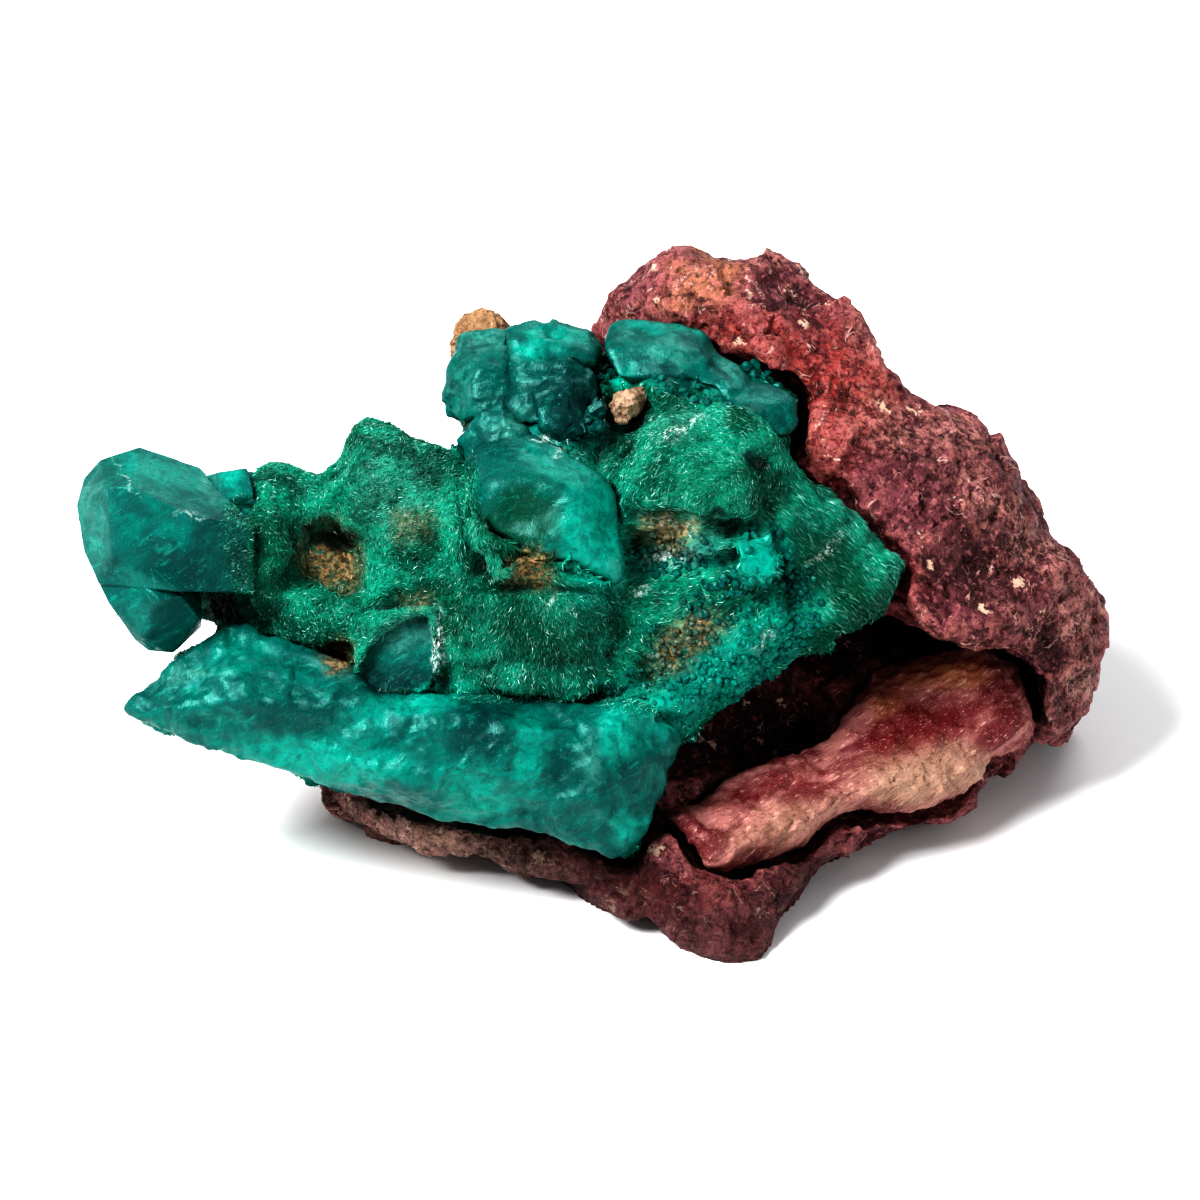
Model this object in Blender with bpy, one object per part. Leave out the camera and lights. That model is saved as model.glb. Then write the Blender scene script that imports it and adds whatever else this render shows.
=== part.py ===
"""A dioptase specimen: green crystals and their crust on a maroon, iron-stained rock.

Run it with: blender --background --python part.py

The crystals grew on a face of the rock that leans back. Shapes are laid out on
that face in millimetres: u runs across it to the right, v runs up it, and w
stands out of it towards the viewer. face_point() turns them into the upright
frame, where +Z is up and the rock rests on a flat patch at z = 0.
"""

import math

import bmesh
import bpy
from mathutils import Matrix, Vector, geometry, noise

MM = 0.001
FACE_LEAN = math.radians(30.0)  # how far the crystal face leans back from upright
BASE_CENTRE = (-0.1, 17.1)  # middle of the footprint, in mm, before it is moved to the origin
CLEARANCE = 0.6  # mm left around a piece that sits in another
MESH_STEP = 0.8  # mm between the points that a stone is modelled with
VOXEL = 0.45  # mm, the grain at which overlapping stones are merged
FACET_ANGLE = math.radians(15.0)  # crystal faces closer to level than this become one


def face_point(u, v, w):
    """The upright position, in metres, of a point on the leaning face, in mm."""
    lean_sin, lean_cos = math.sin(FACE_LEAN), math.cos(FACE_LEAN)
    x = u - BASE_CENTRE[0]
    y = v * lean_sin - w * lean_cos - BASE_CENTRE[1]
    z = v * lean_cos + w * lean_sin
    return Vector((x, y, z)) * MM


def face_direction(u, v, w):
    """The upright direction of a direction on the leaning face."""
    return (face_point(u, v, w) - face_point(0, 0, 0)).normalized()


# Stones: closed lumps with a rim that follows an outline

def distance_to_rim(point, rim):
    """Shortest distance from a point to the closed rim, seen square to the face."""
    nearest = 1e9
    for i, end in enumerate(rim):
        start = rim[i - 1]
        a, b = Vector(start[:2]), Vector(end[:2])
        along = (b - a).dot(point - a) / (b - a).length_squared
        foot = a + (b - a) * min(max(along, 0.0), 1.0)
        nearest = min(nearest, (point - foot).length)
    return nearest


def rim_level(point, rim):
    """Depth of the rim near a point: the rim's own depths, weighted by nearness."""
    total = weight_sum = 0.0
    for u, v, w in rim:
        weight = 1.0 / ((point - Vector((u, v))).length_squared + 0.05)
        weight *= weight
        total += w * weight
        weight_sum += weight
    return total / weight_sum


def dome(share):
    """0 at the rim, 1 a full roll-over inside it, rising like a quarter circle."""
    share = min(max(share, 0.0), 1.0)
    return math.sqrt(1.0 - (1.0 - share) ** 2)


def relief(point, bumps):
    """Height that the bumps add. Each is (u, v, reach across, reach up, turn in degrees,
    height), and a hollow is a bump with a negative height."""
    total = 0.0
    for u, v, across, up, turn, height in bumps:
        offset = point - Vector((u, v))
        offset.rotate(Matrix.Rotation(math.radians(-turn), 2))
        spread = (offset.x / across) ** 2 + (offset.y / up) ** 2
        total += height * math.exp(-spread)
    return total


def grid_inside(rim, step):
    """Points of a triangular grid that lie inside the rim, clear of its edge."""
    low_u, high_u = min(p[0] for p in rim), max(p[0] for p in rim)
    low_v, high_v = min(p[1] for p in rim), max(p[1] for p in rim)
    loop = [Vector(p[:2]) for p in rim]
    row_height = step * math.sqrt(0.75)
    found = []
    for row in range(int((high_v - low_v) / row_height) + 1):
        for column in range(int((high_u - low_u) / step) + 1):
            point = Vector((low_u + (column + 0.5 * (row % 2)) * step, low_v + row * row_height))
            winding = sum(
                (a.y > point.y) != (b.y > point.y)
                and point.x < (b.x - a.x) * (point.y - a.y) / (b.y - a.y) + a.x
                for a, b in zip(loop, loop[1:] + loop[:1])
            )
            if winding % 2 and distance_to_rim(point, rim) > 0.45 * step:
                found.append(point)
    return found


def add_stone(mesh, rim, front, back, bumps=()):
    """Adds a closed lump to a bmesh. rim is a loop of (u, v, w). front and back are
    each (height, roll-over): how far that side stands off the rim, and how wide its
    rounded edge is."""
    inner = grid_inside(rim, MESH_STEP)
    flat = [Vector(p[:2]) for p in rim] + inner
    loop = list(range(len(rim)))
    made = geometry.delaunay_2d_cdt(flat, [], [loop], 1, 1e-5)
    spots, triangles, origins = made[0], made[2], made[3]
    rim_vertices, front_vertices, back_vertices = {}, {}, {}
    for i, spot in enumerate(spots):
        on_rim = [k for k in origins[i] if k < len(rim)]
        if on_rim:
            rim_vertices[i] = mesh.verts.new(face_point(*rim[on_rim[0]]))
            continue
        level, reach = rim_level(spot, rim), distance_to_rim(spot, rim)
        rise = front[0] * dome(reach / front[1]) + relief(spot, bumps) * dome(reach / 1.5)
        fall = back[0] * dome(reach / back[1])
        rise = max(rise, 0.3 - fall)
        front_vertices[i] = mesh.verts.new(face_point(spot.x, spot.y, level + rise))
        back_vertices[i] = mesh.verts.new(face_point(spot.x, spot.y, level - fall))
    for triangle in triangles:
        if all(i in rim_vertices for i in triangle):
            continue
        for side, order in ((front_vertices, 1), (back_vertices, -1)):
            corners = [rim_vertices.get(i) or side[i] for i in triangle]
            mesh.faces.new(corners[::order])


# Crystals: convex solids with flat faces

def crystal_object(name, corners):
    """The convex solid through corner points on the face, each (u, v, w)."""
    mesh = bmesh.new()
    for corner in corners:
        mesh.verts.new(face_point(*corner))
    bmesh.ops.convex_hull(mesh, input=mesh.verts)
    loose = [vertex for vertex in mesh.verts if not vertex.link_faces]
    bmesh.ops.delete(mesh, geom=loose, context="VERTS")
    bmesh.ops.dissolve_limit(mesh, angle_limit=FACET_ANGLE, verts=mesh.verts, edges=mesh.edges)
    bmesh.ops.planar_faces(mesh, faces=mesh.faces, iterations=60, factor=0.5)
    bmesh.ops.triangulate(mesh, faces=mesh.faces)
    return link_mesh(name, mesh)


# Objects and modifiers

def link_mesh(name, mesh):
    data = bpy.data.meshes.new(name)
    mesh.to_mesh(data)
    mesh.free()
    made = bpy.data.objects.new(name, data)
    bpy.context.scene.collection.objects.link(made)
    return made


def apply_modifiers(target):
    """Replaces the object's mesh by what its modifiers make of it."""
    graph = bpy.context.evaluated_depsgraph_get()
    target.data = bpy.data.meshes.new_from_object(target.evaluated_get(graph))
    target.modifiers.clear()


def merge_stones(target, voxel=VOXEL):
    """Makes one skin of overlapping closed lumps."""
    remesh = target.modifiers.new("merge", "REMESH")
    remesh.mode = "VOXEL"
    remesh.voxel_size = voxel * MM
    apply_modifiers(target)


def thin_out(target, triangles):
    """Reduces the mesh to about this many triangles."""
    target.data.calc_loop_triangles()
    decimate = target.modifiers.new("thin", "DECIMATE")
    decimate.ratio = min(1.0, triangles / len(target.data.loop_triangles))
    decimate.use_collapse_triangulate = True
    apply_modifiers(target)


def keep_largest(target):
    """Deletes every loose shell but the one with the most faces."""
    mesh = bmesh.new()
    mesh.from_mesh(target.data)
    shells, seen = [], set()
    for face in mesh.faces:
        if face in seen:
            continue
        shell, todo = [], [face]
        seen.add(face)
        while todo:
            at = todo.pop()
            shell.append(at)
            for edge in at.edges:
                for other in edge.link_faces:
                    if other not in seen:
                        seen.add(other)
                        todo.append(other)
        shells.append(shell)
    shells.sort(key=len)
    spare = [face for shell in shells[:-1] for face in shell]
    bmesh.ops.delete(mesh, geom=spare, context="FACES")
    mesh.to_mesh(target.data)
    mesh.free()


def chip_height(place):
    """Height of a chipped surface: each cell of a random pattern is a flat, tilted facet."""
    cell = noise.voronoi(place)[1][0]
    tilt = noise.cell_vector(cell * 7.3) * 2.0 - Vector((1.0, 1.0, 1.0))
    return (place - cell).dot(tilt)


def roughen(target, waves, chips=()):
    """Moves each vertex along its normal by layers of noise and of chipped facets, both
    given as (size, height) in mm."""
    vertices = target.data.vertices
    moves = []
    for vertex in vertices:
        rise = 0.0
        for size, height in waves:
            rise += height * noise.noise(vertex.co / (size * MM))
        for size, height in chips:
            rise += height * chip_height(vertex.co / (size * MM))
        moves.append(vertex.normal * rise * MM)
    for vertex, move in zip(vertices, moves):
        vertex.co += move


def break_off(target, breaks):
    """Flattens what stands beyond each break plane onto that plane."""
    for place, facing in breaks:
        place, facing = face_point(*place), face_direction(*facing)
        for vertex in target.data.vertices:
            beyond = (vertex.co - place).dot(facing)
            if beyond > 0.0:
                vertex.co -= facing * beyond


def room_for(pieces, grow):
    """One hidden solid that holds the pieces with grow mm to spare all round."""
    mesh = bmesh.new()
    for piece in pieces:
        mesh.from_mesh(piece.data)
    room = link_mesh("room", mesh)
    room.hide_render = True
    room.display_type = "WIRE"
    merge_stones(room)
    moves = [vertex.normal * grow * MM for vertex in room.data.vertices]
    for vertex, move in zip(room.data.vertices, moves):
        vertex.co += move
    merge_stones(room)
    return room


def combine(target, others, operation):
    """Boolean of a piece with other objects, which are then removed."""
    for other in others:
        step = target.modifiers.new(operation.lower(), "BOOLEAN")
        step.operation = operation
        step.solver = "EXACT"
        step.object = other
    apply_modifiers(target)
    for other in others:
        bpy.data.objects.remove(other)


def press_flat_base(target, snap=0.0):
    """Flattens everything below z = snap mm onto z = 0, the face the piece rests on."""
    for vertex in target.data.vertices:
        if vertex.co.z < snap * MM:
            vertex.co.z = 0.0


def join_close_points(target, distance=0.03):
    """Merges points closer than distance mm, so that no sliver of a face is left."""
    mesh = bmesh.new()
    mesh.from_mesh(target.data)
    bmesh.ops.triangulate(mesh, faces=mesh.faces)
    bmesh.ops.remove_doubles(mesh, verts=mesh.verts, dist=distance * MM)
    bmesh.ops.dissolve_degenerate(mesh, edges=mesh.edges, dist=0.3 * distance * MM)
    mesh.to_mesh(target.data)
    mesh.free()


def finish(target, colour, roughness):
    """Gives the piece its material."""
    material = bpy.data.materials.new(target.name)
    material.use_nodes = True
    shader = material.node_tree.nodes["Principled BSDF"]
    shader.inputs["Base Color"].default_value = (*colour, 1.0)
    shader.inputs["Roughness"].default_value = roughness
    shader.inputs["Metallic"].default_value = 0.0
    target.data.materials.clear()
    target.data.materials.append(material)


# The rock

UPPER_ROCK = [
    (10.0, 16.2, -10), (14.7, 17.5, -6), (16.8, 16.5, -5), (18.4, 15.4, -6), (20.0, 16.0, -8),
    (22.0, 14.9, -9), (22.4, 12.9, -10), (22.0, 10.9, -12), (23.7, 10.5, -13), (24.7, 11.2, -14),
    (25.0, 12.4, -14), (25.9, 13.4, -14), (25.6, 14.7, -14), (26.0, 16.2, -14), (25.6, 17.9, -14),
    (24.8, 19.4, -13), (23.6, 20.5, -12), (22.4, 21.4, -12), (22.5, 22.6, -12), (21.7, 23.9, -11),
    (21.3, 24.9, -11), (20.7, 25.3, -11), (20.5, 26.1, -11), (19.6, 26.7, -10), (18.4, 27.6, -10),
    (17.4, 27.9, -10), (15.9, 27.8, -9), (15.4, 28.8, -9), (15.5, 29.4, -9), (14.0, 30.7, -8),
    (13.5, 31.9, -8), (12.9, 32.6, -8), (12.8, 33.5, -8), (12.4, 33.8, -8), (11.3, 34.0, -7),
    (10.1, 36.0, -8), (9.6, 36.3, -8), (8.2, 36.1, -8), (7.0, 35.5, -8), (5.6, 35.3, -8),
    (4.1, 35.8, -9), (3.4, 35.6, -9), (2.0, 34.5, -9), (0.6, 33.6, -9.5), (0.0, 32.5, -10),
    (-1.0, 31.7, -10), (-3.5, 30.8, -10), (-6.0, 29.0, -11), (-7.0, 27.0, -11), (-9.5, 25.5, -10),
    (-13.0, 23.5, -10), (-15.0, 20.0, -10), (-15.0, 15.5, -9), (-12.5, 11.5, -9),
    (-6.0, 9.5, -9), (0.0, 9.8, -9), (4.0, 12.5, -10),
]

FOOT = [
    (-14.4, 8.1, -9), (-13.0, 6.9, -8), (-11.3, 6.3, -7), (-9.0, 5.8, -6), (-6.6, 5.4, -5.5),
    (-5.0, 5.2, -5), (-2.0, 3.8, -3.5), (0.0, 2.7, -2.5), (2.2, 1.6, -1.5), (3.6, 0.8, -0.8),
    (5.0, 0.1, 0.2), (6.5, -0.3, 0.6), (8.3, 0.2, 0), (8.8, 1.0, -1), (9.4, 2.0, -1.5),
    (9.5, 3.1, -2.2), (10.7, 4.1, -3), (11.1, 4.7, -3.5), (12.7, 5.1, -4.5), (13.7, 6.0, -5.5),
    (15.2, 6.5, -6.5), (16.2, 6.9, -7.2), (17.2, 6.5, -8), (18.2, 7.0, -9), (19.2, 7.8, -10),
    (19.8, 8.8, -11), (20.7, 9.3, -12), (21.4, 10.3, -13), (22.4, 11.1, -14), (23.3, 13.5, -15),
    (22.0, 17.0, -17), (17.0, 20.5, -19), (9.0, 22.0, -20), (0.0, 22.0, -20), (-9.0, 20.0, -18),
    (-14.0, 16.0, -14), (-15.5, 11.5, -11),
]

ROCK_RELIEF = [
    (13.5, 25.0, 4.0, 4.0, 0, 1.0),
    (20.8, 18.8, 3.4, 3.0, 0, 2.0),  # the right shoulder
    (22.6, 18.6, 0.9, 5.0, 32, 0.9),  # ribs that run along its edge
    (20.6, 17.6, 0.8, 5.0, 32, -1.0),
    (18.6, 24.2, 2.2, 1.0, -30, 0.8),
    (15.8, 23.2, 4.0, 0.7, -35, -0.9),  # the step between the shoulder and the peak
    (8.0, 31.0, 3.5, 1.6, 0, -0.8),
    (11.5, 31.5, 2.0, 1.6, 30, 0.8),
    (14.0, 28.3, 3.5, 1.0, -20, -0.8),
    (3.0, 30.5, 4.0, 2.2, 0, -2.2),  # room for the upper crystals
    (14.5, 20.5, 2.6, 2.2, 0, -1.4),
]

FOOT_RELIEF = [
    (8.0, 11.5, 4.8, 3.0, 0, -6.5),  # the hollow under the crystals
    (15.5, 15.5, 3.0, 1.2, 0, -3.0),  # the crevice under the upper rock
    (6.2, 2.8, 2.2, 1.4, 0, 1.1),  # the blunt front corner
    (3.0, 3.4, 3.0, 0.5, -30, -0.7),
    (10.5, 6.0, 3.0, 0.5, 25, -0.6),
]

# Flat breaks, each a place on the plane and the way it faces
ROCK_BREAKS = [
    ((0.0, 21.1, -26.5), (0.1, 0.41, -0.92)),
    ((-13.0, 17.8, -20.9), (-0.85, 0.16, -0.48)),
    ((6.0, 34.0, -15.0), (0.1, 0.9, -0.35)),
    ((-10.0, 26.0, -15.0), (-0.6, 0.81, -0.11)),
    ((21.0, 19.7, -22.1), (0.8, 0.21, -0.57)),
    ((19.0, 27.7, -14.0), (0.7, 0.7, -0.12)),
    ((8.0, 33.0, -4.4), (-0.1, 0.6, 0.8)),
    ((12.5, 28.6, -4.0), (0.55, 0.25, 0.8)),
    ((19.5, 23.6, -6.6), (0.5, 0.5, 0.7)),
    ((23.4, 17.0, -9.6), (0.8, 0.0, 0.6)),
]


def make_rock():
    mesh = bmesh.new()
    add_stone(mesh, UPPER_ROCK, front=(5.2, 6.0), back=(17.0, 9.0), bumps=ROCK_RELIEF)
    add_stone(mesh, FOOT, front=(0.9, 1.6), back=(16.0, 3.0), bumps=FOOT_RELIEF)
    rock = link_mesh("matrix_rock", mesh)
    merge_stones(rock)
    break_off(rock, ROCK_BREAKS)
    roughen(rock, waves=((7.0, 0.6), (2.4, 0.35)), chips=((5.0, 0.55), (2.2, 0.3)))
    merge_stones(rock)
    return rock


# The green crust and its crystals

CRUST = [
    (-20.6, 17.2, -6), (-20.6, 20.5, -6), (-18.5, 22.5, -5), (-17.9, 24.3, -4),
    (-16.9, 25.2, -4.5), (-15.7, 25.4, -5),
    (-14.4, 25.0, -5), (-13.7, 25.3, -5), (-13.2, 26.1, -5), (-12.5, 26.9, -5.5), (-11.6, 27.2, -6),
    (-10.6, 27.0, -6), (-9.9, 26.6, -6), (-9.2, 26.3, -6), (-7.6, 26.0, -6), (-6.5, 26.1, -6),
    (-3.0, 26.5, -5), (0.5, 25.0, -4), (1.5, 20.0, -3), (2.0, 16.0, -3), (0.0, 13.5, -3),
    (-5.0, 13.5, -3), (-9.0, 13.3, -3), (-12.5, 13.6, -3), (-15.0, 15.0, -3.5), (-17.5, 16.0, -4),
]

CRUST_RELIEF = [
    (-13.4, 20.2, 1.3, 1.7, 25, -4.6),  # the open pit
    (-12.3, 25.2, 1.8, 1.6, 0, 0.9),
    (-8.8, 22.4, 2.5, 2.0, 0, 1.2),
    (-10.6, 19.6, 1.6, 0.8, -60, 0.8),
    (-16.4, 22.0, 1.2, 1.6, 0, 0.6),
    (-13.1, 15.4, 1.0, 0.8, 0, -1.5),  # the small ochre pocket
    (-6.6, 17.6, 0.9, 3.0, 0, 0.6),
    (-3.5, 15.6, 2.6, 1.8, 0, 0.9),
]

DOME = [
    (0.0, 25.0, -3), (1.2, 26.5, -3), (2.6, 28.0, -3), (5.0, 28.6, -3.5), (7.5, 28.3, -4),
    (9.2, 27.4, -4), (10.0, 26.0, -4), (9.2, 23.5, -3), (7.5, 21.5, -2), (5.0, 20.5, -2),
    (2.0, 20.8, -2), (0.3, 22.5, -2),
]

SHOULDER = [
    (1.0, 29.5, -5), (4.0, 30.6, -5.5), (6.3, 30.4, -5.5), (8.8, 29.1, -5.5), (9.9, 28.3, -5.5),
    (10.0, 26.6, -5), (9.3, 25.5, -4), (6.0, 26.0, -4), (2.5, 27.0, -4),
]

WING = [
    (7.5, 25.5, -2), (9.0, 26.1, -2.2), (10.1, 25.4, -2.6), (10.7, 24.4, -2.8), (11.8, 23.4, -3.0),
    (13.5, 22.3, -3.4), (14.8, 21.2, -3.8), (15.5, 20.3, -4.0), (15.2, 19.2, -4.0),
    (14.6, 18.1, -3.8), (14.3, 17.3, -3.6), (13.2, 16.7, -3.4), (12.0, 16.4, -3.2),
    (10.5, 16.3, -3.0), (8.5, 17.0, -2.6), (7.0, 19.5, -2), (7.0, 22.5, -2),
]

LOWER_MASS = [
    (-23.9, 12.6, -3.5), (-23.6, 13.4, -3.5), (-22.5, 14.0, -3.5), (-21.7, 14.7, -3.5),
    (-21.2, 15.5, -3.5), (-20.0, 16.6, -3.5), (-18.6, 17.1, -3.5), (-16.5, 16.8, -3.5),
    (-14.0, 15.5, -3), (-11.5, 13.8, -3), (-8.5, 13.8, -3), (-5.0, 14.8, -3), (-2.0, 16.5, -3),
    (3.0, 18.5, -3), (8.0, 20.5, -3), (10.5, 18.0, -3.5), (12.0, 15.8, -4), (10.0, 15.0, -4),
    (8.3, 13.8, -3.8), (7.5, 13.1, -3.6), (5.8, 12.0, -3.4), (4.3, 10.8, -3.2), (3.2, 9.9, -3),
    (2.5, 8.6, -2.8), (2.4, 7.3, -2.6), (1.9, 6.2, -2.4), (1.2, 5.3, -2.4), (0.0, 5.7, -2.6),
    (-1.2, 6.3, -3), (-2.6, 6.6, -3.2), (-5.0, 6.6, -3.6), (-7.0, 7.0, -4), (-9.9, 7.6, -4.4),
    (-12.0, 8.1, -5), (-14.0, 8.3, -5.5), (-15.2, 9.0, -5.5), (-17.0, 9.7, -5), (-18.3, 10.9, -4.5),
    (-20.0, 11.1, -4), (-22.0, 11.4, -3.6), (-23.5, 12.1, -3.5),
]

LOWER_RELIEF = [
    (4.2, 15.9, 1.6, 1.2, 0, -0.9),  # the olive patch
    (7.6, 16.4, 3.0, 0.8, 30, 0.9),
    (3.6, 13.2, 2.6, 0.8, 25, 0.8),
]

HEART = [
    (-6.7, 25.1, -3), (-6.2, 25.9, -3), (-5.0, 26.5, -3), (-3.5, 26.6, -3), (-2.6, 26.2, -3),
    (-1.8, 25.4, -3), (-0.5, 24.9, -3), (0.3, 24.1, -2.5), (0.9, 23.1, -2), (1.1, 21.6, -1.5),
    (1.2, 19.1, -1), (0.7, 18.6, -1), (-1.5, 19.3, -1), (-3.0, 18.2, -1.5), (-5.0, 18.5, -2),
    (-6.3, 20.5, -2.5), (-6.8, 23.0, -3),
]

CROWN = [
    (-7.9, 28.2, -7), (-7.6, 29.5, -7), (-7.3, 30.6, -7.5), (-6.6, 31.3, -8), (-5.5, 31.6, -8),
    (-4.3, 31.5, -8), (-3.5, 31.9, -8), (-2.4, 32.1, -8), (-1.2, 31.7, -8), (0.0, 30.9, -7.5),
    (1.5, 29.5, -6), (1.5, 26.5, -5), (0.0, 24.5, -5), (-3.0, 24.0, -5), (-6.0, 24.5, -5.5),
    (-7.3, 26.1, -6), (-7.2, 26.9, -6.5), (-7.7, 27.4, -7),
]

SADDLE = [
    (-1.0, 26.5, -4), (3.0, 27.0, -4), (8.0, 24.0, -3.5), (9.0, 18.0, -3), (5.0, 14.0, -3),
    (0.0, 14.0, -3), (-2.0, 19.0, -3),
]

SADDLE_RELIEF = [
    (2.6, 21.6, 1.8, 1.4, 0, -2.0),  # the open patch of brown rock
    (7.3, 20.0, 1.2, 2.0, 0, 1.3),
    (3.5, 18.8, 3.0, 0.7, 0, 0.6),
]

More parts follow.
